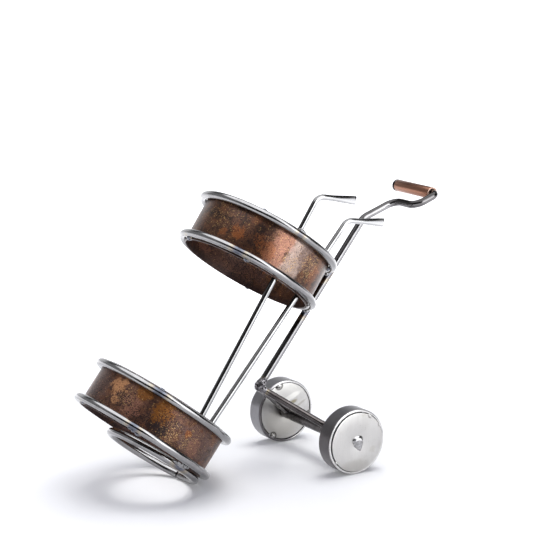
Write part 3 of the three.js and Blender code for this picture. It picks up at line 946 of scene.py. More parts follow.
class Bench:
    """Modelling steps on one piece at a time, with everything else left alone."""

    SHARP_ANGLE = 50.0

    @staticmethod
    def clear() -> None:
        """Leaves edit mode and selects nothing."""
        if bpy.context.object and bpy.context.object.mode != "OBJECT":
            bpy.ops.object.mode_set(mode="OBJECT")
        bpy.ops.object.select_all(action="DESELECT")

    @staticmethod
    def take(name: str) -> bpy.types.Object:
        """Names the piece that was just added and puts its place into its mesh.

        Args:
            name: its name.

        Returns:
            The piece.
        """
        piece = bpy.context.object
        piece.name = name
        piece.data.name = name
        bpy.ops.object.transform_apply(location=True, rotation=True, scale=True)
        return piece

    @staticmethod
    def copy(piece: bpy.types.Object, name: str, placed: Matrix) -> bpy.types.Object:
        """Copies a piece with a mesh of its own.

        Args:
            piece: the piece to copy.
            name: the copy's name.
            placed: where the copy goes.

        Returns:
            The copy.
        """
        twin = piece.copy()
        twin.data = piece.data.copy()
        twin.name = name
        twin.data.name = name
        twin.data.transform(placed)
        bpy.context.scene.collection.objects.link(twin)
        return twin

    @staticmethod
    def drop(piece: bpy.types.Object) -> None:
        """Throws away a piece that was only there to be copied."""
        Bench.clear()
        bpy.data.objects.remove(piece)

    @staticmethod
    def hold(piece: bpy.types.Object) -> None:
        """Selects one piece alone.

        Args:
            piece: the piece.
        """
        Bench.clear()
        piece.select_set(True)
        bpy.context.view_layer.objects.active = piece

    @staticmethod
    def open_all(piece: bpy.types.Object) -> None:
        """Opens a piece for editing with all of it selected.

        Args:
            piece: the piece.
        """
        Bench.hold(piece)
        bpy.ops.object.mode_set(mode="EDIT")
        bpy.ops.mesh.select_mode(type="FACE")
        bpy.ops.mesh.select_all(action="SELECT")

    @staticmethod
    def open_faces(piece: bpy.types.Object, wanted: Callable[[bpy.types.MeshPolygon], bool]) -> None:
        """Opens a piece for editing with chosen faces selected.

        Args:
            piece: the piece.
            wanted: says whether a face is chosen.
        """
        Bench.hold(piece)
        bpy.context.tool_settings.mesh_select_mode = (False, False, True)
        for element in (*piece.data.vertices, *piece.data.edges):
            element.select = False
        for polygon in piece.data.polygons:
            polygon.select = wanted(polygon)
        bpy.ops.object.mode_set(mode="EDIT")

    @staticmethod
    def open_edges(piece: bpy.types.Object, wanted: Callable[[Vector, Vector], bool]) -> None:
        """Opens a piece for editing with chosen edges selected.

        Args:
            piece: the piece.
            wanted: says from its two ends whether an edge is chosen.
        """
        Bench.hold(piece)
        bpy.context.tool_settings.mesh_select_mode = (False, True, False)
        mesh = piece.data
        for element in (*mesh.vertices, *mesh.polygons):
            element.select = False
        for edge in mesh.edges:
            ends = [mesh.vertices[i].co for i in edge.vertices]
            edge.select = wanted(*ends)
        bpy.ops.object.mode_set(mode="EDIT")

    @staticmethod
    def close() -> None:
        """Goes back to object mode."""
        bpy.ops.object.mode_set(mode="OBJECT")

    @staticmethod
    def draw_out(step: Vector) -> None:
        """Extrudes what is selected by a step."""
        bpy.ops.mesh.extrude_region_move(TRANSFORM_OT_translate={"value": tuple(step)})

    @staticmethod
    def modify(piece: bpy.types.Object, kind: str, **settings: object) -> None:
        """Adds a modifier and applies it.

        Args:
            piece: the piece.
            kind: the modifier's type.
            settings: its properties.
        """
        Bench.hold(piece)
        modifier = piece.modifiers.new(kind.lower(), kind)
        for key, value in settings.items():
            setattr(modifier, key, value)
        bpy.ops.object.modifier_apply(modifier=modifier.name)

    @staticmethod
    def ease(piece: bpy.types.Object, width: float) -> None:
        """Eases the sharp edges of a piece.

        Args:
            piece: the piece.
            width: how wide an eased edge is.
        """
        limit = math.radians(Bench.SHARP_ANGLE)
        Bench.modify(piece, "BEVEL", width=width, segments=3, limit_method="ANGLE", angle_limit=limit)

    @staticmethod
    def smooth(piece: bpy.types.Object, angle: float = 40.0) -> None:
        """Shades a piece smooth where its faces meet at less than an angle in degrees."""
        Bench.hold(piece)
        bpy.ops.object.shade_smooth_by_angle(angle=math.radians(angle))

    @staticmethod
    def join(pieces: Sequence[bpy.types.Object]) -> bpy.types.Object:
        """Joins pieces into the first of them.

        Args:
            pieces: the pieces.

        Returns:
            The joined piece.
        """
        Bench.hold(pieces[0])
        for piece in pieces[1:]:
            piece.select_set(True)
        bpy.ops.object.join()
        return pieces[0]

    @staticmethod
    def tube(
        name: str,
        placed: Matrix,
        inner: float,
        outer: float,
        length: float,
        bevel: float,
        sides: int = 160,
    ) -> bpy.types.Object:
        """Turns a short tube with eased edges.

        Args:
            name: the piece's name.
            placed: the frame whose Z axis is the tube's and whose origin is its middle.
            inner: the bore's radius.
            outer: the outer radius.
            length: the length.
            bevel: how much the edges are eased.
            sides: how many faces go round.

        Returns:
            The tube.
        """
        Bench.clear()
        bpy.ops.mesh.primitive_cylinder_add(
            vertices=sides, radius=outer, depth=length, end_fill_type="NOTHING",
            location=placed.translation, rotation=placed.to_euler(),
        )
        piece = Bench.take(name)
        Bench.modify(piece, "SOLIDIFY", thickness=outer - inner, offset=-1.0, use_even_offset=True)
        if bevel:
            Bench.ease(piece, bevel)
        Bench.smooth(piece)
        return piece


def turned_basis(z_axis: Vector, x_hint: Vector) -> Matrix:
    """A turned frame from its Z axis and the rough way of its X axis.

    Args:
        z_axis: its Z axis.
        x_hint: the rough way of its X axis.

    Returns:
        The frame.
    """
    z = z_axis.normalized()
    x = (x_hint - z * x_hint.dot(z)).normalized()
    return Matrix((x, z.cross(x), z)).transposed().to_4x4()


def placed_at(origin: Vector, basis: Matrix) -> Matrix:
    """The same turned frame at a place."""
    return Matrix.Translation(origin) @ basis


def middle(node: str) -> Vector:
    """The middle of a CAD node's box."""
    low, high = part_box(node)
    return (low + high) / 2


def polar(radius: float, degrees: float, height: float = 0.0) -> Vector:
    """A point round a frame's Z axis."""
    angle = math.radians(degrees)
    return Vector((radius * math.cos(angle), radius * math.sin(angle), height))


def mark_run(piece: bpy.types.Object, line: Sequence[Vector]) -> None:
    """Stores on each point how far along a rod it lies and its offsets across.

    Args:
        piece: the rod.
        line: close points on its centre line.
    """
    tree = KDTree(len(line))
    lengths = [0.0]
    for i, point in enumerate(line):
        tree.insert(point, i)
        if i:
            lengths.append(lengths[-1] + (point - line[i - 1]).length)
    tree.balance()
    across = Vector((0, 1, 0))
    stored = piece.data.attributes.new(RUN_COORDS, "FLOAT_VECTOR", "POINT")
    for vertex, slot in zip(piece.data.vertices, stored.data):
        point, i, _ = tree.find(vertex.co)
        ahead = (line[min(i + 1, len(line) - 1)] - line[max(i - 1, 0)]).normalized()
        side = ahead.cross(across).normalized()
        offset = vertex.co - point
        slot.vector = (lengths[i] + offset.dot(ahead), offset.dot(side), offset.dot(side.cross(ahead)))


@dataclass
class Rod:
    """A round rod that runs straight between corners and is bent at each inner one."""

    name: str
    diameter: float
    corners: Sequence[Vector]
    radii: Sequence[float] = ()
    sides: int = 28
    bend_steps: int = 14
    line: list[Vector] = field(default_factory=list)

    STEP = 0.8 * MM

    def _walk(self, start: Vector, end: Vector) -> None:
        """Adds close points of a straight run to the centre line."""
        count = max(1, round((end - start).length / self.STEP))
        self.line += [start.lerp(end, k / count) for k in range(count + 1)]

    def build(self) -> bpy.types.Object:
        """Draws the rod out from its first corner, and leaves it open for editing at its far end.

        Returns:
            The rod.
        """
        heading = (self.corners[1] - self.corners[0]).normalized()
        Bench.clear()
        bpy.ops.mesh.primitive_circle_add(
            vertices=self.sides, radius=self.diameter / 2, fill_type="NGON",
            location=self.corners[0], rotation=heading.to_track_quat("Z", "Y").to_euler(),
        )
        piece = Bench.take(self.name)
        Bench.open_all(piece)
        at = self.corners[0]
        for i, radius in enumerate(self.radii, 1):
            corner = self.corners[i]
            into = (corner - self.corners[i - 1]).normalized()
            out = (self.corners[i + 1] - corner).normalized()
            turn = into.angle(out)
            cut = radius * math.tan(turn / 2)
            start = corner - into * cut
            inward = (out - into * out.dot(into)).normalized()
            centre = start + inward * radius
            axis = into.cross(inward)
            Bench.draw_out(start - at)
            self._walk(at, start)
            bpy.ops.mesh.spin(steps=self.bend_steps, angle=-turn, center=centre, axis=axis)
            for k in range(1, self.bend_steps + 1):
                turned = Matrix.Rotation(turn * k / self.bend_steps, 4, axis)
                self.line.append(centre + turned @ (-inward * radius))
            at = corner + out * cut
        Bench.draw_out(self.corners[-1] - at)
        self._walk(at, self.corners[-1])
        return piece

    def finish(self, piece: bpy.types.Object) -> bpy.types.Object:
        """Closes the rod, stores its run and shades it.

        Args:
            piece: the rod that was drawn out.

        Returns:
            The finished rod.
        """
        Bench.close()
        mark_run(piece, self.line)
        Bench.smooth(piece)
        return piece

    def made(self) -> bpy.types.Object:
        """The whole rod."""
        return self.finish(self.build())


@dataclass(frozen=True)
class Blob:
    """One pool of weld metal: its place and half sizes in the weld's frame, in millimetres."""

    at: tuple[float, float, float]
    half: tuple[float, float, float]


@dataclass(frozen=True)
class Bead:
    """A weld bead run together from a few pools of metal."""

    name: str
    placed: Matrix
    blobs: tuple[Blob, ...]
    seed: int
    grain: float = 0.30 * MM
    ripple: float = 0.28 * MM
    melt: int = 4

    def build(self) -> bpy.types.Object:
        """Melts the pools into one bead with an uneven skin.

        Returns:
            The bead.
        """
        pools = []
        for i, blob in enumerate(self.blobs):
            Bench.clear()
            bpy.ops.mesh.primitive_ico_sphere_add(
                subdivisions=3, radius=1.0, scale=[size * MM for size in blob.half],
                location=self.placed @ Vector([part * MM for part in blob.at]),
                rotation=self.placed.to_euler(),
            )
            pools.append(Bench.take(f"{self.name}_{i}"))
        bead = Bench.join(pools) if len(pools) > 1 else pools[0]
        bead.name = f"{self.name}_bead"
        bead.data.name = bead.name
        Bench.open_all(bead)
        bpy.ops.transform.vertex_random(offset=self.ripple, seed=self.seed)
        Bench.close()
        Bench.modify(bead, "REMESH", mode="VOXEL", voxel_size=self.grain)
        Bench.modify(bead, "SMOOTH", factor=0.5, iterations=self.melt)
        Bench.hold(bead)
        bpy.ops.object.shade_smooth()
        return bead


@dataclass(frozen=True)
class Made:
    """A finished piece, what it stands for and what it rides on."""

    piece: bpy.types.Object
    node: str
    material: bpy.types.Material
    slot: str
    body: str = "frame"

    def hand_over(self) -> None:
        """Gives the piece its material and body, and hides the CAD node that it stands for."""
        self.piece.data.materials.clear()
        self.piece.data.materials.append(self.material)
        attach(self.piece, self.body)
        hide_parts(self.node)
        log.info("%s: %d faces, rides on %s", self.piece.name, len(self.piece.data.polygons), self.body)


@dataclass(frozen=True)
class Tack:
    """A small bead of weld: its angle, and its radius, height and size in millimetres."""

    angle: float
    radius: float
    height: float
    size: float = 1.4

    def spot(self) -> Vector:
        """Its place round a Z axis."""
        return polar(self.radius * MM, self.angle, self.height * MM)

    def blobs(self) -> tuple[Blob, ...]:
        """Two pools that run into each other, in a frame whose X axis points outwards.

        Returns:
            The pools.
        """
        size = self.size
        return (
            Blob((0, 0, 0), (size, size * 1.15, size * 0.9)),
            Blob((-0.1 * size, 0.9 * size, 0.15 * size), (size * 0.7, size * 0.8, size * 0.65)),
        )


# The bag: bands, hoops and seat ring

@dataclass(frozen=True)
class HoopWelds:
    """A hoop's butt weld, by its angle and the reach of its heat in millimetres, and its tacks."""

    joint: float
    reach: float
    tacks: tuple[Tack, ...]


@dataclass
class Bag:
    """Two copper bands held in four wire hoops, over an open seat ring."""

    band_radius: float = 43 * MM
    band_wall: float = 1 * MM
    band_lip: float = 0.6 * MM
    band_bevel: float = 0.25 * MM
    hoop_radius: float = 45.7 * MM
    wire: float = 4.8 * MM
    lower_spacing: float = 24.8 * MM
    upper_spacing: float = 27.2 * MM
    seat_radius: float = 29.4 * MM
    seat_inset: float = 4.4 * MM
    seat_towards: float = -37.2
    seat_drop: float = 6.8 * MM
    seat_tilt: float = 3.1
    seat_start_angle: float = 14.0
    seat_joint_angle: float = 2.0
    hoop_steps: int = 216
    seat_half_steps: int = 100
    wire_sides: int = 28
    end_bevel: float = 0.5 * MM
    joint_zone: float = 3.2 * MM
    joint_swell: float = 0.16 * MM
    joint_blend: float = 4 * MM
    rough_zone: float = 4.2 * MM
    rough_ripple: float = 0.08 * MM
    rough_seed: int = 11
    tack_heat: float = 2.6
    hoops: dict[str, HoopWelds] = field(default_factory=lambda: {
        "lower_band_top_hoop": HoopWelds(-128.7, 9.5, (
            Tack(-128.8, 43.6, 2.3, 1.3),
            Tack(51, 43.4, 2.2),
        )),
        "lower_band_bottom_hoop": HoopWelds(-131.5, 7.5, (
            Tack(-126.6, 44.3, -2.3, 1.6),
            Tack(-130.5, 45.2, -2.1, 1.35),
            Tack(-133.6, 45.9, -1.9, 1.1),
            Tack(172, 44.4, -1.9, 1.5),
            Tack(44, 43.8, -2.2),
        )),
        "upper_band_bottom_hoop": HoopWelds(-133.9, 8, (
            Tack(-125.9, 44, -2.2, 1.6),
            Tack(170.7, 43.6, -2.4, 1.9),
            Tack(52, 43.8, -2.2),
        )),
        "upper_band_top_hoop": HoopWelds(-99.3, 5.5, (
            Tack(-132.4, 43.6, 2.3, 1.3),
            Tack(-33.8, 43.4, -2.2, 1.6),
            Tack(80, 43.6, 2.2),
        )),
    })

    def __post_init__(self) -> None:
        """Works out the bag's frames from the CAD hoops."""
        foot = middle("lower_band_bottom_hoop")
        self.axis = (middle("lower_band_top_hoop") - foot).normalized()
        self.basis = turned_basis(self.axis, Vector((1, 0, 0)))
        self.lower = placed_at(foot, self.basis)
        upper_foot = middle("upper_band_bottom_hoop")
        upper_head = middle("upper_band_top_hoop")
        upper_basis = turned_basis(upper_head - upper_foot, Vector((1, 0, 0)))
        self.upper = placed_at((upper_foot + upper_head) / 2, upper_basis)

    def hoop_frame(self, node: str) -> Matrix:
        """The frame of a hoop, with its origin at the hoop's middle."""
        basis = self.lower if node.startswith("lower") else self.upper
        return placed_at(middle(node), basis.to_3x3().to_4x4())

    def _plain_hoop(self) -> bpy.types.Object:
        """Bends the wire of one hoop, flat round the origin, for the four to be copied from.

        Returns:
            The hoop.
        """
        Bench.clear()
        bpy.ops.mesh.primitive_torus_add(
            major_radius=self.hoop_radius, minor_radius=self.wire / 2,
            major_segments=self.hoop_steps, minor_segments=self.wire_sides,
        )
        return Bench.take("plain_hoop")

    def _hoop(self, node: str, plain: bpy.types.Object) -> bpy.types.Object:
        """Copies the plain hoop, swells it where its ends are welded and adds its tack beads.

        Args:
            node: the CAD node of the hoop.
            plain: the hoop to copy.

        Returns:
            The hoop in its place.
        """
        hoop = Bench.copy(plain, f"{node}_wire", Matrix.Identity(4))
        joint = polar(self.hoop_radius, self.hoops[node].joint)
        Bench.open_faces(hoop, lambda face: (face.center - joint).length < self.joint_zone)
        bpy.ops.transform.shrink_fatten(
            value=-self.joint_swell, use_proportional_edit=True, proportional_size=self.joint_blend,
            proportional_edit_falloff="SMOOTH",
        )
        Bench.close()
        Bench.open_faces(hoop, lambda face: (face.center - joint).length < self.rough_zone)
        bpy.ops.transform.vertex_random(offset=self.rough_ripple, seed=self.rough_seed)
        Bench.close()
        beads = []
        for i, tack in enumerate(self.hoops[node].tacks):
            turned = Matrix.Rotation(math.radians(tack.angle), 4, "Z")
            placed = turned @ Matrix.Translation((tack.radius * MM, 0, tack.height * MM))
            bead = Bead(f"{node}_tack_{i}", placed, tack.blobs(), 7 + 3 * i, 0.25 * MM, 0.18 * MM)
            beads.append(bead.build())
        hoop = Bench.join([hoop, *beads])
        self._mark_hoop(hoop)
        Bench.smooth(hoop)
        hoop.data.transform(self.hoop_frame(node))
        return hoop

    def _mark_hoop(self, hoop: bpy.types.Object) -> None:
        """Stores the run of a flat hoop from its angle, offset and height.

        Args:
            hoop: the hoop.
        """
        stored = hoop.data.attributes.new(RUN_COORDS, "FLOAT_VECTOR", "POINT")
        for vertex, slot in zip(hoop.data.vertices, stored.data):
            point = vertex.co
            length = self.hoop_radius * math.atan2(point.y, point.x)
            slot.vector = (length, math.hypot(point.x, point.y) - self.hoop_radius, point.z)

    def _seat_ring(self) -> bpy.types.Object:
        """Bends the open seat ring, tilts it towards the hoop and grinds its foot flat.

        Returns:
            The ring in its place.
        """
        offset = self.hoop_radius - self.seat_inset - self.seat_radius
        centre = polar(offset, self.seat_towards, -self.seat_drop)
        first = self.seat_start_angle + self.seat_joint_angle
        sweep = 360 - self.seat_joint_angle
        Bench.clear()
        bpy.ops.mesh.primitive_circle_add(
            vertices=self.wire_sides, radius=self.wire / 2, fill_type="NGON",
            location=centre + polar(self.seat_radius, first),
            rotation=Euler((math.pi / 2, 0, math.radians(first) + math.pi)),
        )
        ring = Bench.take("seat_ring_wire")
        Bench.open_all(ring)
        half = math.radians(sweep) / 2
        for _ in range(2):
            bpy.ops.mesh.spin(steps=self.seat_half_steps, angle=-half, center=centre, axis=(0, 0, 1))
        Bench.close()
        self._clean(ring)
        Bench.open_edges(ring, lambda a, b: self._on_end(a, b, centre, first, sweep))
        bpy.ops.mesh.bevel(offset=self.end_bevel, segments=3, affect="EDGES")
        Bench.close()
        tilt = Matrix.Rotation(math.radians(-self.seat_tilt), 4, "X")
        placed = self.lower @ Matrix.Translation(centre) @ tilt
        ring.data.transform(placed @ Matrix.Translation(-centre))
        mark_run(ring, [placed @ polar(self.seat_radius, first + sweep * k / 360) for k in range(361)])
        Bench.open_all(ring)
        bpy.ops.mesh.bisect(
            plane_co=(0, 0, 0), plane_no=(0, 0, 1), clear_inner=True, use_fill=True, threshold=0.0001 * MM
        )
        Bench.close()
        Bench.smooth(ring)
        return ring

    @staticmethod
    def _clean(piece: bpy.types.Object) -> None:
        """Merges doubled points and turns all faces outwards.

        Args:
            piece: the piece.
        """
        Bench.open_all(piece)
        bpy.ops.mesh.remove_doubles(threshold=0.001 * MM)
        bpy.ops.mesh.select_all(action="SELECT")
        bpy.ops.mesh.normals_make_consistent(inside=False)
        Bench.close()

    def _on_end(self, a: Vector, b: Vector, centre: Vector, first: float, sweep: float) -> bool:
        """Says whether an edge lies round one of the ring's cut ends.

        Args:
            a: one end of the edge.
            b: its other end.
            centre: the middle of the untilted ring.
            first: the angle of the first cut end.
            sweep: the angle from there to the other.

        Returns:
            Whether it does.
        """
        for angle in (first, first + sweep):
            tangent = polar(1.0, angle + 90)
            at = centre + polar(self.seat_radius, angle)
            if all((end - at).length < self.wire and abs((end - at).dot(tangent)) < CLOSE for end in (a, b)):
                return True
        return False

    def spots(self, node: str) -> tuple[HotSpot, ...]:
        """The heated places of a hoop: its butt weld and its tacks.

        Args:
            node: the CAD node of the hoop.

        Returns:
            The places.
        """
        placed = self.hoop_frame(node)
        welds = self.hoops[node]
        joint = HotSpot(placed @ polar(self.hoop_radius, welds.joint), welds.reach * MM)
        tacks = (HotSpot(placed @ tack.spot(), self.tack_heat * tack.size * MM) for tack in welds.tacks)
        return joint, *tacks

    def pieces(self) -> list[Made]:
        """Builds and dresses the bag.

        Returns:
            The pieces.
        """
        made = []
        for node, placed, spacing, copper in (
            ("lower_band", self.lower @ Matrix.Translation((0, 0, self.lower_spacing / 2)),
             self.lower_spacing, self._lower_copper),
            ("upper_band", self.upper, self.upper_spacing, self._upper_copper),
        ):
            height = spacing + self.wire + 2 * self.band_lip
            bore = self.band_radius - self.band_wall
            sheet = Bench.tube(f"{node}_sheet", placed, bore, self.band_radius, height, self.band_bevel)
            made.append(Made(sheet, node, copper(placed, height / 2).make(), "aged_copper"))
        plain = self._plain_hoop()
        for node in self.hoops:
            finish = DrawnSteel(f"{node}_steel", spots=self.spots(node))
            made.append(Made(self._hoop(node, plain), node, finish.make(), "steel_wire"))
        Bench.drop(plain)
        weld = HotSpot(middle("seat_ring_weld"))
        seat_steel = DrawnSteel("seat_ring_steel", spots=(weld,)).make()
        made.append(Made(self._seat_ring(), "seat_ring", seat_steel, "steel_wire"))
        return made

    def _lower_copper(self, placed: Matrix, half_height: float) -> AgedCopper:
        """The lower band's colouring: ochre and rose patches with specks and flecks.

        Args:
            placed: the band's frame.
            half_height: half the band's height.

        Returns:
            The finish.
        """
        return AgedCopper(
            "lower_band_copper", placed, self.band_radius, half_height,
            patches=(
                Patch(Mark.DUSK, -80, -2, 17, 0.75),
                Patch(Mark.DUSK, 100, 0, 40, 0.6),
                Patch(Mark.DUSK, 174, 0, 16, 0.6),
                Patch(Mark.ROSE, -142, -3.5, 7.5, 0.75),
                Patch(Mark.ROSE, -79, -4, 6.5, 0.5),
                Patch(Mark.OCHRE, -162, 3.6, 6.2, 0.95),
                Patch(Mark.OCHRE, -159, -4, 3.6, 0.8),
                Patch(Mark.AMBER, -138, 8.5, 5.6, 0.85),
                Patch(Mark.SOOT, -117, -5, 7, 0.7),
                Patch(Mark.AMBER, -119, 4.2, 7.8, 0.95),
                Patch(Mark.ORANGE, -91, 1.2, 2.8, 0.9),
                Patch(Mark.ORANGE, 20, 3, 9, 0.8),
                Patch(Mark.AMBER, 85, -3, 9, 0.8),
                Patch(Mark.OCHRE, 130, 2, 8, 0.7),
            ),
            speckled=(
                Patch(Mark.SOOT, -131, -8, 11, 0.85),
                Patch(Mark.SOOT, -114, -4, 7, 1.2),
                Patch(Mark.SOOT, -112, 1, 8, 0.8),
                Patch(Mark.SOOT, -152, -2, 8, 0.85),
                Patch(Mark.SOOT, 174, -4, 9, 0.9),
                Patch(Mark.SOOT, 60, 0, 20, 0.7),
            ),
            flecked=(
                Patch(Mark.OCHRE, -106, -5, 9, 0.65),
                Patch(Mark.OCHRE, -86, -2, 9, 0.5),
                Patch(Mark.OCHRE, -150, 0, 7, 0.65),
                Patch(Mark.OCHRE, 130, 4, 16, 0.5),
            ),
        )

    def _upper_copper(self, placed: Matrix, half_height: float) -> AgedCopper:
        """The upper band's colouring: dark and mottled at the left, with a painted pink and pale sheen at the
        right.

        Args:
            placed: the band's frame.
            half_height: half the band's height.

        Returns:
            The finish.
        """
        return AgedCopper(
            "upper_band_copper", placed, self.band_radius, half_height,
            patches=(
                # Painted sheen: these two rose patches and the four pale ones after them paint a reflection
                # of light down the band's right side.
                Patch(Mark.ROSE, -105, 6, 8, 0.75),
                Patch(Mark.ROSE, -107, -7, 9, 0.8),
                Patch(Mark.PAINTED_SHEEN, -88, 10, 8.5, 0.45, 0.25),
                Patch(Mark.PAINTED_SHEEN, -89, 3.5, 8.5, 0.4, 0.25),
                Patch(Mark.PAINTED_SHEEN, -90, -3.5, 8.5, 0.4, 0.25),
                Patch(Mark.PAINTED_SHEEN, -91, -10, 8.5, 0.45, 0.25),
                Patch(Mark.ROSE, -117, 3, 6, 0.25),
                Patch(Mark.ORANGE, -116, -5, 6, 0.6),
                Patch(Mark.ORANGE, -143, -3, 4.8, 0.95),
                Patch(Mark.ORANGE, -156, -6, 3, 0.7),
                Patch(Mark.ORANGE, -134, 9, 3.5, 0.35),
                Patch(Mark.SOOT, -143, 9.5, 6, 0.4),
                Patch(Mark.SOOT, -123, 9, 6, 0.35),
                Patch(Mark.ORANGE, -125, -1, 4, 0.6),
                Patch(Mark.ORANGE, -64, -1, 7, 0.6),
                Patch(Mark.DUSK, -78, 4, 9, 0.6),
                Patch(Mark.DUSK, 80, 0, 40, 0.5),
                Patch(Mark.ORANGE, 50, 5, 9, 0.8),
                Patch(Mark.ROSE, 110, -5, 9, 0.7),
            ),
            speckled=(
                Patch(Mark.SOOT, -127, -1, 10, 0.75),
                Patch(Mark.SOOT, -148, 5, 9, 0.5),
                Patch(Mark.SOOT, 60, 0, 22, 0.7),
            ),
            flecked=(
                Patch(Mark.OCHRE, -168, 4, 13, 0.35),
                Patch(Mark.OCHRE, -74, 2, 9, 0.75),
                Patch(Mark.OCHRE, -92, -4, 7, 0.5),
            ),
            ground=(0.125, 0.059, 0.037),
            rust=(0.175, 0.072, 0.035),
            deep=(0.034, 0.019, 0.014),
            roughness=0.32,
            sheen=0.66,
            lacquer=0.12,
        )


# The golf clubs

@dataclass(frozen=True)
class ClubSizes:
    """Where one club stands and how its head is bent over."""

    node: str
    foot_angle: float
    rim_angle: float
    neck_reach: float
    head_length: float
    head_turn: float


@dataclass
class Clubs:
    """Two clubs of straight wire inside the bands, with necks bent over and heads beaten flat."""

    wire: float = 3.6 * MM
    reach: float = 39.9 * MM
    rim_reach: float = 38.94 * MM
    foot_station: float = 4 * MM
    rim_station: float = 151.5 * MM
    bend: float = 7 * MM
    neck_share: float = 1.2
    head_bevel: float = 0.35 * MM
    spread: float = 1.5
    thinning: float = 0.42
    head_steps: int = 16
    # Where the painted highlight on the heads starts.
    head_highlight_from: float = 164 * MM
    sizes: tuple[ClubSizes, ...] = (
        ClubSizes("golf_club_long", -83.3, -99.9, 25.3 * MM, 28.5 * MM, 62.0),
        ClubSizes("golf_club_short", -73.3, -56.3, 27.1 * MM, 28.2 * MM, 60.0),
    )

    def _club(self, sizes: ClubSizes, bag: Bag) -> bpy.types.Object:
        """Draws out one club and beats its head flat.

        Args:
            sizes: the club's sizes.
            bag: the bag.

        Returns:
            The club.
        """
        foot = polar(self.reach, sizes.foot_angle, self.foot_station)
        rim = polar(self.rim_reach, sizes.rim_angle, self.rim_station)
        climb = (rim - foot) / (self.rim_station - self.foot_station)
        neck = rim + climb * sizes.neck_reach
        turn = math.radians(sizes.head_turn)
        ahead = Vector((math.sin(turn), 0, math.cos(turn)))
        neck_end = neck + ahead * (self.bend * self.neck_share)
        corners = [bag.lower @ point for point in (foot, neck, neck_end)]
        rod = Rod(f"{sizes.node}_wire", self.wire, corners, (self.bend,))
        piece = rod.build()
        ahead = bag.lower.to_3x3() @ ahead
        length = sizes.head_length - self.bend * self.neck_share
        step = ahead * (length / self.head_steps)
        at, wide, thin = corners[-1], 1.0, 1.0
        for k in range(1, self.head_steps + 1):
            share = k / self.head_steps
            flat = share * share * (3 - 2 * share)
            next_wide = 1 + (self.spread - 1) * flat
            next_thin = 1 + (self.thinning - 1) * flat
            Bench.draw_out(step)
            at = at + step
            ratio = (next_wide / wide, next_thin / thin, next_wide / wide)
            bpy.ops.transform.resize(value=ratio, center_override=at)
            rod.line.append(at)
            wide, thin = next_wide, next_thin
        bpy.ops.mesh.bevel(offset=self.head_bevel, segments=3, affect="EDGES")
        return rod.finish(piece)

    def pieces(self, bag: Bag) -> list[Made]:
        """Builds and dresses both clubs.

        Args:
            bag: the bag.

        Returns:
            The pieces.
        """
        # Painted light: a dark reflection on the side facing the bag, and a pale painted highlight on the
        # heads.
        steel = DrawnSteel(
            "club_steel", roughness=0.15, bright=(0.40, 0.40, 0.40), painted_dark_side=0.75, radius=self.wire / 2,
            stretch_from=self.head_highlight_from, stretch_tone=(0.60, 0.60, 0.60), stretch_cover=0.8,
        ).make()
        return [Made(self._club(sizes, bag), sizes.node, steel, "steel_wire") for sizes in self.sizes]


# The spine, its handle and the grip

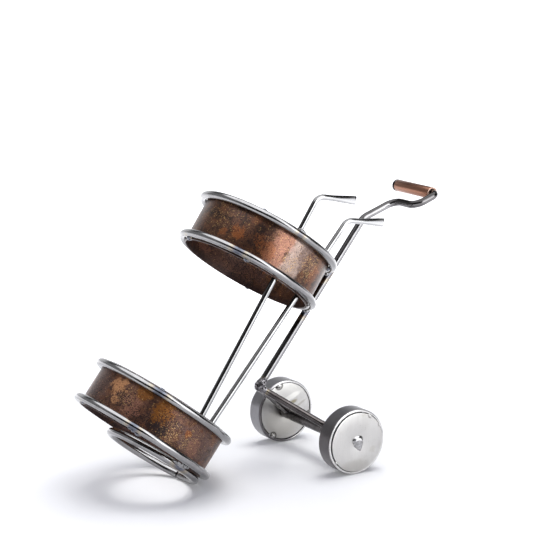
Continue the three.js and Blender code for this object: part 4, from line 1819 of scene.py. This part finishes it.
@dataclass
class Spine:
    """One rod up the back of the upper hoops, bent into a handle whose crossbar carries a copper grip."""

    wire: float = 4.8 * MM
    back: float = 51.06 * MM
    foot_station: float = 66 * MM
    top_station: float = 193.5 * MM
    rise: float = 19.5
    upper_reach: float = 26.2 * MM
    lower_reach: float = 17.8 * MM
    bends: tuple[float, ...] = (9 * MM, 7 * MM, 7 * MM, 4 * MM)
    grip_wall: float = 1.1 * MM
    grip_gap: float = 0.4 * MM
    grip_bevel: float = 0.3 * MM
    cap_rim: float = 1.0 * MM
    cap_dish: float = 0.15 * MM
    cap_bevel: float = 0.45 * MM

    def __post_init__(self) -> None:
        """Reads where the grip and the axle lie in the CAD model."""
        self.side = middle("axle_tube").y
        self.grip_low, self.grip_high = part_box("grip_sleeve")
        self.grip_middle = middle("grip_sleeve")

    def foot(self, bag: Bag) -> Vector:
        """The spine's lower end."""
        return self._at(bag, self.foot_station)

    def _at(self, bag: Bag, station: float) -> Vector:
        """A point of the spine's straight run.

        Args:
            bag: the bag.
            station: its height along the bag.

        Returns:
            The point.
        """
        point = bag.lower @ Vector((self.back, 0, station))
        point.y = self.side
        return point

    def _rod(self, bag: Bag) -> Rod:
        """Works out the rod's corners and bends.

        Args:
            bag: the bag.

        Returns:
            The rod.
        """
        rise = math.radians(self.rise)
        forward = Vector((math.cos(rise), 0, math.sin(rise)))
        shoulder = self._at(bag, self.top_station)
        turn = shoulder + forward * self.upper_reach
        low = Vector((turn.x, self.grip_low.y - self.grip_gap - self.bends[-1], turn.z))
        corner = low + forward * self.lower_reach
        end = Vector((corner.x, self.grip_high.y + self.grip_gap, corner.z))
        corners = [self.foot(bag), shoulder, turn, low, corner, end]
        return Rod("spine_and_handle_rod", self.wire, corners, self.bends)

    def _cap(self) -> bpy.types.Object:
        """Turns the cap that keeps the grip on.

        Returns:
            The cap.
        """
        low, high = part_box("grip_end_cap")
        Bench.clear()
        bpy.ops.mesh.primitive_cylinder_add(
            vertices=48, radius=(high.z - low.z) / 2, depth=high.y - low.y,
            location=(self.grip_middle.x, (low.y + high.y) / 2, self.grip_middle.z),
            rotation=(math.pi / 2, 0, 0),
        )
        cap = Bench.take("grip_end_cap_disc")
        Bench.open_faces(cap, lambda face: face.normal.y > 0.9)
        bpy.ops.mesh.inset(thickness=self.cap_rim, depth=-self.cap_dish)
        Bench.close()
        Bench.ease(cap, self.cap_bevel)
        Bench.smooth(cap)
        return cap

    def pieces(self, bag: Bag) -> list[Made]:
        """Builds and dresses the spine, the grip and its cap.

        Args:
            bag: the bag.

        Returns:
            The pieces.
        """
        welds = tuple(
            HotSpot(middle(node))
            for node in ("spine_lower_hoop_weld", "spine_upper_hoop_weld", "fork_junction_weld")
        )
        radius = (self.grip_high.z - self.grip_low.z) / 2
        sleeve = Bench.tube(
            "grip_sleeve_tube", placed_at(self.grip_middle, ACROSS), radius - self.grip_wall, radius,
            self.grip_high.y - self.grip_low.y, self.grip_bevel, 64,
        )
        # Painted light: a dark reflection on the side facing the bag and along the handle's top, and painted
        # shade on the handle past the shoulder.
        spine_steel = DrawnSteel(
            "spine_steel", spots=welds, painted_dark_side=0.9, stretch_from=146 * MM, stretch_cover=0.6
        ).make()
        copper = BrightCopper(ends=(self.grip_low.y, self.grip_high.y)).make()
        return [
            Made(self._rod(bag).made(), "spine_and_handle", spine_steel, "steel_wire"),
            Made(sleeve, "grip_sleeve", copper, "bright_copper", "grip"),
            Made(self._cap(), "grip_end_cap", DarkSteel("cap_steel").make(), "dark_steel"),
        ]


# The fork and the wheels

@dataclass
class Fork:
    """Two arms from the spine's foot to a tube that the axle turns in."""

    wire: float = 4.4 * MM
    spread: float = 31 * MM
    root_gap: float = 3.2 * MM
    arm_overlap: float = 0.8
    bore: float = 2.48 * MM
    tube_bevel: float = 0.3 * MM
    tube_sides: int = 72
    run_steps: int = 120

    def arm_end(self, sign: int) -> Vector:
        """Where an arm meets the axle's centre line, on the side of the Y axis that the sign gives."""
        return middle("axle_tube") + Vector((0, sign * self.spread, 0))

    def pieces(self, bag: Bag, spine: Spine) -> list[Made]:
        """Builds and dresses the fork.

        Args:
            bag: the bag.
            spine: the spine whose foot both arms spring from.

        Returns:
            The pieces.
        """
        low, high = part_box("axle_tube")
        centre = middle("axle_tube")
        radius = (high.z - low.z) / 2
        dark = DarkSteel("fork_steel", spots=(HotSpot(middle("fork_junction_weld"), 7 * MM),)).make()
        tube = Bench.tube(
            "axle_tube_bar", placed_at(centre, ACROSS), self.bore, radius, high.y - low.y, self.tube_bevel,
            self.tube_sides,
        )
        near_end = Vector((centre.x, low.y, centre.z))
        shares = (1 - 2 * k / self.run_steps for k in range(self.run_steps + 1))
        mark_run(tube, [centre.lerp(near_end, share) for share in shares])
        made = [Made(tube, "axle_tube", dark, "dark_steel")]
        root = spine.foot(bag)
        for side, sign in SIDES:
            end = self.arm_end(sign)
            along = (end - root).normalized()
            corners = [root + along * self.root_gap, end - along * radius * self.arm_overlap]
            arm = Rod(f"{side}_fork_arm_rod", self.wire, corners)
            made.append(Made(arm.made(), f"{side}_fork_arm", dark, "dark_steel"))
        return made


@dataclass
class Wheelset:
    """Two wheels of short tube with sheet discs, on one spindle."""

    rim_wall: float = 1.5 * MM
    rim_outer_ease: float = 0.8 * MM
    rim_inner_ease: float = 0.2 * MM
    disc_radius: float = 18.9 * MM
    disc_bevel: float = 0.3 * MM
    hole: float = 2.7 * MM
    spindle_wire: float = 4.8 * MM
    rim_sides: int = 176
    disc_sides: int = 144
    tack_heat: float = 1.75
    # How much painted shade each rim has on the side of its wall and on one side of its ends.
    rim_painted_shade: dict[str, tuple[float, float]] = field(default_factory=lambda: {
        "near": (0.95, 0.0),
        "far": (0.0, 1.0),
    })
    shifts: dict[str, tuple[float, float, float]] = field(default_factory=lambda: {
        "near_wheel_outer_disc": (0.36 * MM, 0.85 * MM, -0.18 * MM),
        "far_wheel_inner_disc": (0.30 * MM, 0.0, 0.10 * MM),
    })
    # Painted light on the discs: shade towards the lower side, a pale upper part, a bright wedge as painted
    # reflection, and dark bands beside it as painted shadow of the fork arm.
    painted_lights: dict[str, tuple[PaintedLight, ...]] = field(default_factory=lambda: {
        "far_wheel_inner_disc": (
            PaintedLight((-4, -8), (17, 12), -20, (0.37, 0.355, 0.325), 0.75),
            PaintedLight((0, 13), (17, 8), 10, (0.58, 0.57, 0.54), 0.6),
            PaintedLight((4.5, 9), (9, 2.4), 20, (0.80, 0.79, 0.75), 0.8),
            PaintedLight((5.6, 5.2), (4.5, 1.6), 20, (0.24, 0.20, 0.10), 0.75),
            PaintedLight((12, 3.5), (6, 1.0), 30, (0.33, 0.31, 0.27), 0.6),
        ),
        "near_wheel_outer_disc": (
            PaintedLight((-2, -16), (14, 6), 0, (0.42, 0.405, 0.38), 0.6),
        ),
    })
    tacks: dict[str, tuple[Tack, ...]] = field(default_factory=lambda: {
        "near_wheel_outer_disc": (
            Tack(57.5, 18.3, 0.5, 1.2),
            Tack(25.9, 18.9, 0.35, 0.75),
            Tack(-145, 18.9, 0.3, 0.8),
        ),
        "far_wheel_inner_disc": (
            Tack(105.3, 18.5, 0.6, 2.0),
            Tack(-122.4, 18.2, 0.6, 1.8),
            Tack(-10, 18.6, 0.4, 0.9),
        ),
        "near_wheel_inner_disc": (
            Tack(80, 18.5, 0.45, 1.2),
            Tack(-60, 18.5, 0.45, 1.2),
        ),
        "far_wheel_outer_disc": (
            Tack(150, 18.5, 0.45, 1.0),
            Tack(-30, 18.5, 0.45, 1.0),
        ),
    })

    def _plain_rim(self) -> bpy.types.Object:
        """Cuts a rim from tube round the origin, and eases its outer edges more than its inner ones.

        Returns:
            The rim.
        """
        low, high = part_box("near_wheel_rim")
        radius = (high.x - low.x) / 2
        bore = radius - self.rim_wall
        rim = Bench.tube("plain_rim", ACROSS, bore, radius, high.y - low.y, 0.0, self.rim_sides)
        for edge_radius, ease in ((radius, self.rim_outer_ease), (bore, self.rim_inner_ease)):
            Bench.open_edges(rim, lambda a, b: self._goes_round(a, b, edge_radius))
            bpy.ops.mesh.bevel(offset=ease, segments=4, affect="EDGES")
            Bench.close()
        Bench.smooth(rim)
        return rim

    @staticmethod
    def _goes_round(a: Vector, b: Vector, radius: float) -> bool:
        """Says whether an edge runs round the wheel at a radius.

        Args:
            a: one end of the edge.
            b: its other end.
            radius: the radius.

        Returns:
            Whether it does.
        """
        off_radius = (abs(math.hypot(point.x, point.z) - radius) for point in (a, b))
        return abs(a.y - b.y) < CLOSE and max(off_radius) < 5 * CLOSE

    def _plain_disc(self) -> bpy.types.Object:
        """Cuts a sheet disc with a hole for the spindle, round the origin.

        Returns:
            The disc.
        """
        low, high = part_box("near_wheel_outer_disc")
        Bench.clear()
        bpy.ops.mesh.primitive_cylinder_add(
            vertices=self.disc_sides, radius=self.disc_radius, depth=high.y - low.y,
            rotation=(math.pi / 2, 0, 0),
        )
        disc = Bench.take("plain_disc")
        Bench.open_faces(disc, lambda face: abs(face.normal.y) > 0.9)
        bpy.ops.mesh.inset(thickness=self.disc_radius - self.hole)
        bpy.ops.mesh.bridge_edge_loops()
        Bench.close()
        Bench.ease(disc, self.disc_bevel)
        return disc

    def _disc(self, node: str, plain: bpy.types.Object, outwards: int) -> bpy.types.Object:
        """Copies the plain disc and tacks it to its rim.

        Args:
            node: the CAD node of the disc.
            plain: the disc to copy.
            outwards: the sign of the Y axis on the disc's open side.

        Returns:
            The disc in its place.
        """
        low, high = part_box(node)
        centre = middle(node)
        across, proud, up = self.shifts.get(node, (0.0, 0.0, 0.0))
        shift = Vector((across, outwards * proud, up))
        disc = Bench.copy(plain, f"{node}_sheet", Matrix.Translation(centre + shift))
        face = (high.y if outwards > 0 else low.y) + shift.y
        beads = []
        for i, tack in enumerate(self.tacks[node]):
            spot = Vector((centre.x, face, centre.z)) + polar(tack.radius * MM, tack.angle).xzy
            spot.y += outwards * (tack.height - 0.5 * tack.size) * MM
            placed = Matrix.Translation(spot) @ Matrix.Rotation(math.radians(-tack.angle), 4, "Y")
            size = tack.size
            blobs = (
                Blob((0, 0, 0), (size, size * 0.85, size)),
                Blob((0.2 * size, 0, 0.9 * size), (size * 0.7, size * 0.6, size * 0.75)),
            )
            bead = Bead(f"{node}_tack_{i}", placed, blobs, 5 + 2 * i, 0.2 * MM, 0.12 * MM)
            beads.append(bead.build())
        disc = Bench.join([disc, *beads])
        Bench.smooth(disc)
        return disc

    def _steel(self, node: str, centre: Vector) -> SheetSteel:
        """The finish of a disc, with a dark foot round each tack.

        Args:
            node: the CAD node of the disc.
            centre: the middle of its wheel.

        Returns:
            The finish.
        """
        plane = Vector((centre.x, middle(node).y, centre.z))
        feet = tuple(
            HotSpot(plane + polar(tack.radius * MM, tack.angle).xzy, self.tack_heat * tack.size * MM)
            for tack in self.tacks[node]
        )
        return SheetSteel(f"{node}_steel", centre, feet, self.painted_lights.get(node, ()))

    def pieces(self) -> list[Made]:
        """Builds and dresses the wheels and their spindle.

        Returns:
            The pieces.
        """
        made = []
        plain_rim = self._plain_rim()
        plain_disc = self._plain_disc()
        for side, away in SIDES:
            node = f"{side}_wheel_rim"
            centre = middle(node)
            rim_steel = RimSteel(f"{side}_rim_steel", centre, *self.rim_painted_shade[side]).make()
            rim = Bench.copy(plain_rim, f"{node}_ring", Matrix.Translation(centre))
            made.append(Made(rim, node, rim_steel, "wheel_steel", "wheelset"))
            for face, outwards in (("inner", -away), ("outer", away)):
                name = f"{side}_wheel_{face}_disc"
                disc = self._disc(name, plain_disc, outwards)
                disc_steel = self._steel(name, centre).make()
                made.append(Made(disc, name, disc_steel, "disc_steel", "wheelset"))
        Bench.drop(plain_rim)
        Bench.drop(plain_disc)
        low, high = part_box("wheel_spindle")
        centre = middle("wheel_spindle")
        ends = [Vector((centre.x, y, centre.z)) for y in (low.y, high.y)]
        spindle = Rod("wheel_spindle_rod", self.spindle_wire, ends).made()
        steel = DrawnSteel("spindle_steel").make()
        made.append(Made(spindle, "wheel_spindle", steel, "steel_wire", "wheelset"))
        return made


# The welds

@dataclass
class Welds:
    """Every bead of weld metal on the frame and the wheels."""

    hub_lean: float = 20.0

    def _along(self, node: str, angle: float, bag: Bag) -> Matrix:
        """A frame at a weld's middle whose X axis points out of the bag and whose Z axis runs up it."""
        out = bag.basis.to_3x3() @ polar(1.0, angle)
        return placed_at(middle(node), turned_basis(bag.axis, out))

    def _beads(self, bag: Bag, spine: Spine, fork: Fork) -> Iterable[Bead]:
        """Lists the beads on the frame.

        Args:
            bag: the bag.
            spine: the spine.
            fork: the fork.

        Returns:
            The beads, one by one.
        """
        for i, node in enumerate(("spine_lower_hoop_weld", "spine_upper_hoop_weld")):
            yield Bead(node, self._along(node, -3, bag), (
                Blob((0, -2.0, 0), (2.0, 1.9, 2.6)),
                Blob((0, 2.0, 0), (2.0, 1.9, 2.4)),
                Blob((0, -2.6, -1.6), (1.3, 1.3, 1.4)),
                Blob((0, 0, 0.3), (1.7, 2.4, 2.0)),
            ), 21 + i)
        yield Bead("seat_ring_weld", self._along("seat_ring_weld", -78, bag), (
            Blob((-0.6, -4.4, 0), (2.3, 1.8, 1.9)),
            Blob((0, -1.8, 0), (3.1, 2.2, 2.3)),
            Blob((0.4, 0.9, 0.1), (2.8, 1.9, 2.1)),
            Blob((0.9, 3.1, 0.5), (1.8, 1.5, 1.5)),
            Blob((-1.1, -6.2, -0.3), (1.3, 1.1, 1.2)),
        ), 31)
        for i, (node, angle) in enumerate((
            ("long_club_lower_weld", -83), ("short_club_lower_weld", -73), ("short_club_upper_weld", -56),
        )):
            yield Bead(node, self._along(node, angle, bag), (
                Blob((0, 0, -1.6), (1.5, 1.9, 1.9)),
                Blob((0.2, 0.3, 0.4), (1.4, 1.7, 1.8)),
                Blob((0, -0.2, 2.2), (1.2, 1.5, 1.4)),
            ), 41 + i)
        node = "long_club_upper_weld"
        yield Bead(node, self._along(node, -100, bag), (
            Blob((0.2, 0, 0), (2.0, 1.9, 1.6)),
            Blob((-0.2, -1.4, 0.5), (1.4, 1.3, 1.2)),
            Blob((0, 1.5, 0.2), (1.3, 1.2, 1.1)),
        ), 51, 0.25 * MM)
        yield self._junction(bag, spine, fork)
        for i, (side, sign) in enumerate(SIDES):
            node = f"{side}_fork_arm_weld"
            out = (fork.arm_end(sign) - spine.foot(bag)).normalized()
            yield Bead(node, placed_at(middle(node), turned_basis(Vector((0, 1, 0)), out)), (
                Blob((0, 0, 0), (2.2, 2.1, 2.6)),
                Blob((-1.2, 0.6, -sign * 1.8), (1.5, 1.4, 1.6)),
                Blob((-0.4, -0.9, sign * 1.8), (1.4, 1.3, 1.4)),
            ), 61 + i)

    def _junction(self, bag: Bag, spine: Spine, fork: Fork) -> Bead:
        """The saddle of weld metal where the fork's arms leave the spine's foot.

        Args:
            bag: the bag.
            spine: the spine.
            fork: the fork.

        Returns:
            The bead.
        """
        foot = spine.foot(bag)
        up = bag.axis
        near, far = ((fork.arm_end(sign) - foot).normalized() for _, sign in SIDES)
        back = Vector((-up.z, 0, up.x))
        pools = (
            (up * 0.2, 3.1),
            (up * 2.6 + back * 0.4, 2.95),
            (up * 4.6, 2.65),
            (near * 2.4, 2.7),
            (far * 2.4, 2.7),
            (near * 4.6, 2.35),
            (far * 4.6, 2.35),
            (up * 6.2 + Vector((0, -1.1, 0)), 1.8),
            (up * 2.4 + Vector((0, -2.3, 0)), 1.8),
            (back * 2.3 + up * 0.6, 1.6),
            (near * 2.2 + Vector((0, -1.7, 0)), 1.4),
            (up * 4.6 + Vector((-1.6, -1.6, 0)), 1.2),
        )
        blobs = tuple(Blob(tuple(at), (size, size, size)) for at, size in pools)
        return Bead("fork_junction_weld", Matrix.Translation(foot), blobs, 71, ripple=0.22 * MM, melt=9)

    def _hub(self, side: str, away: int) -> Bead:
        """The drop of weld metal over the spindle's end, drawn down to a point.

        Args:
            side: which wheel it is on.
            away: the sign of the Y axis outside the wheel.

        Returns:
            The bead.
        """
        low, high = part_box(f"{side}_hub_weld")
        foot = low.y if away > 0 else high.y
        placed = Matrix.Translation((middle("wheel_spindle").x, foot, middle("wheel_spindle").z))
        placed = placed @ Matrix.Rotation(math.radians(-self.hub_lean * 0.5), 4, "Y")
        return Bead(f"{side}_hub_weld", placed, (
            Blob((0.7, 0, 1.0), (4.3, 2.4, 3.3)),
            Blob((0.9, 0, -1.3), (3.8, 2.1, 3.2)),
            Blob((1.2, 0, -3.4), (2.5, 1.6, 2.6)),
            Blob((1.5, 0, -5.0), (1.2, 1.0, 2.0)),
            Blob((2.4, away * 0.6, 0.2), (1.6, 2.1, 2.9)),
        ), 81, 0.22 * MM, 0.02 * MM, 14)

    def pieces(self, bag: Bag, spine: Spine, fork: Fork) -> list[Made]:
        """Builds and dresses the beads.

        Args:
            bag: the bag.
            spine: the spine.
            fork: the fork.

        Returns:
            The pieces.
        """
        metal = WeldMetal().make()
        dark_metal = WeldMetal(
            "dark_weld_metal", (0.22, 0.21, 0.22), (0.035, 0.033, 0.036), sooted=0.7, relief=0.2
        ).make()
        hub_metal = WeldMetal(
            "hub_weld_metal", (0.46, 0.455, 0.46), (0.14, 0.137, 0.14), 0.20, sooted=0.5, relief=0.25
        ).make()
        made = []
        for bead in self._beads(bag, spine, fork):
            finish = dark_metal if "fork" in bead.name else metal
            made.append(Made(bead.build(), bead.name, finish, "weld_metal"))
        for side, away in SIDES:
            bead = self._hub(side, away)
            made.append(Made(bead.build(), bead.name, hub_metal, "weld_metal", "wheelset"))
        return made


# The studio

@dataclass(frozen=True)
class Lamp:
    """A square soft lamp that shines on the part and shows in no reflection."""

    name: str
    place: tuple[float, float, float]
    size: float
    watts: float
    aim: tuple[float, float, float] = (0, 0, 0.06)

    def hang(self) -> None:
        """Hangs the lamp and turns it to the part."""
        data = bpy.data.lights.new(self.name, "AREA")
        data.shape = "SQUARE"
        data.size = self.size
        data.energy = self.watts
        lamp = bpy.data.objects.new(self.name, data)
        bpy.context.scene.collection.objects.link(lamp)
        lamp.visible_glossy = False
        lamp.location = self.place
        lamp.rotation_euler = facing(Vector(self.place), Vector(self.aim))


def facing(place: Vector, target: Vector) -> Euler:
    """How a camera or lamp at a place is turned to look at a target."""
    return (target - place).to_track_quat("-Z", "Y").to_euler()


@dataclass
class Studio:
    """Camera, pale floor and soft light.

    Turns are angles in degrees from the camera towards its right, and heights are sines of elevation.
    """

    eye: Vector = field(default_factory=lambda: Vector((-0.5978, -0.95282, 0.36415)))
    target: Vector = field(default_factory=lambda: Vector((0.005675, -0.002474, 0.12595)))
    lens: float = 123.33
    sensor: float = 36.0
    floor_half: float = 9.0
    floor_fade: tuple[float, float] = (0.20, 0.42)
    floor_tone: Tone = (0.80, 0.80, 0.80)
    floor_lift: float = 0.16
    ambient: Tone = (0.25, 0.262, 0.335)
    box_tone: Tone = (0.97, 0.98, 1.0)
    dark: float = 0.035
    softbox: float = 4.6
    softbox_turn: tuple[float, float, float, float] = (24, 34, 62, 80)
    softbox_top: tuple[float, float] = (0.80, 0.92)
    side_wall: float = 0.42
    side_wall_turn: tuple[float, float, float, float] = (42, 70, 120, 150)
    backdrop: float = 1.0
    backdrop_turn: tuple[float, float] = (118, 142)
    backdrop_top: tuple[float, float] = (0.30, 0.55)
    overhead: float = 3.0
    overhead_height: tuple[float, float] = (0.68, 0.82)
    lamps: tuple[Lamp, ...] = (
        Lamp("overhead", (0.22, 0.14, 1.3), 1.0, 18.5),
        Lamp("front", (-0.9, -1.5, 0.9), 0.9, 6.0),
    )

    def camera(self) -> None:
        """Sets up the camera where the photograph was taken from."""
        data = bpy.data.cameras.new("camera")
        data.lens = self.lens
        data.sensor_width = self.sensor
        data.clip_start = 0.05
        data.clip_end = 30.0
        camera = bpy.data.objects.new("camera", data)
        bpy.context.scene.collection.objects.link(camera)
        camera.location = self.eye
        camera.rotation_euler = facing(self.eye, self.target)
        bpy.context.scene.camera = camera

    def floor(self) -> None:
        """Lays a pale floor that keeps the shadow and turns plain white further out."""
        Bench.clear()
        bpy.ops.mesh.primitive_plane_add(size=2 * self.floor_half, location=(0, 0, 0))
        floor = bpy.context.object
        floor.name = "studio_floor"
        material, recipe = surface("floor", self.floor_tone)
        paper = recipe.node("ShaderNodeBsdfDiffuse", {}, {"Color": (*self.floor_tone, 1.0)})
        seen = recipe.node("ShaderNodeLightPath", output="Is Camera Ray")
        shown = seen.most(seen.part("Is Glossy Ray")).most(seen.part("Is Transmission Ray"))
        near, far = (
            recipe.node("ShaderNodeAddShader", {}, {0: paper, 1: recipe.glow("ShaderNodeEmission", strength)})
            for strength in (shown * self.floor_lift, shown)
        )
        reach = recipe.vector("LENGTH", recipe.place(), output="Value")
        shader = recipe.node("ShaderNodeMixShader", {}, {0: reach.rise(*self.floor_fade), 1: near, 2: far})
        recipe.end("ShaderNodeOutputMaterial", shader)
        floor.data.materials.append(material)
        floor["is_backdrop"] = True

    def world(self) -> None:
        """Surrounds the object with white, broken for reflections by the dark gaps between softboxes."""
        world = bpy.data.worlds.new("studio")
        bpy.context.scene.world = world
        world.use_nodes = True
        recipe = Recipe(world.node_tree)
        ray = recipe.node("ShaderNodeTexCoord", output="Generated")
        back = (self.eye - self.target).to_2d().normalized()
        to_camera = recipe.vector("DOT_PRODUCT", ray, (back.x, back.y, 0.0), output="Value")
        to_right = recipe.vector("DOT_PRODUCT", ray, (-back.y, back.x, 0.0), output="Value")
        turn = to_right.bearing(to_camera) * math.degrees(1)
        height = recipe.split(ray)[2]
        right_box = turn.within(*self.softbox_turn) * (1.0 - height.rise(*self.softbox_top))
        left_wall = (0.0 - turn).within(*self.side_wall_turn)
        backdrop = turn.size().rise(*self.backdrop_turn) * (1.0 - height.rise(*self.backdrop_top))
        top_box = height.rise(*self.overhead_height)
        glow = (right_box * self.softbox).most(top_box * self.overhead)
        glow = glow.most(left_wall * self.side_wall).most(backdrop * self.backdrop).most(self.dark)
        path = recipe.node("ShaderNodeLightPath", output="Is Camera Ray")
        glossy = path.part("Is Glossy Ray").most(path.part("Is Transmission Ray"))
        soft = recipe.glow("ShaderNodeBackground", 1.0, self.ambient)
        boxes = recipe.glow("ShaderNodeBackground", glow, self.box_tone)
        white = recipe.glow("ShaderNodeBackground", 1.0)
        mixed = recipe.node("ShaderNodeMixShader", {}, {0: glossy, 1: soft, 2: boxes})
        shown = recipe.node("ShaderNodeMixShader", {}, {0: path, 1: mixed, 2: white})
        recipe.end("ShaderNodeOutputWorld", shown)

    def set_up(self) -> None:
        """Sets up the whole studio."""
        self.camera()
        self.floor()
        self.world()
        for lamp in self.lamps:
            lamp.hang()
        bpy.context.scene.view_settings.view_transform = "Standard"


def save_sizes() -> None:
    boxes = {"cad": CAD_BOX, "visual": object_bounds()}
    {key: [list(corner) for corner in box] for key, box in boxes.items()}


def main() -> None:
    """Builds every sub-assembly in order and reports each piece."""
    logging.basicConfig(level=logging.INFO, format="%(name)s %(message)s")
    Studio().set_up()
    bag = Bag()
    spine = Spine()
    fork = Fork()
    made = bag.pieces() + Clubs().pieces(bag) + spine.pieces(bag)
    made += fork.pieces(bag, spine) + Wheelset().pieces() + Welds().pieces(bag, spine, fork)
    for item in made:
        item.hand_over()
    Bench.clear()
    save_sizes()


if __name__ == "__main__":
    main()
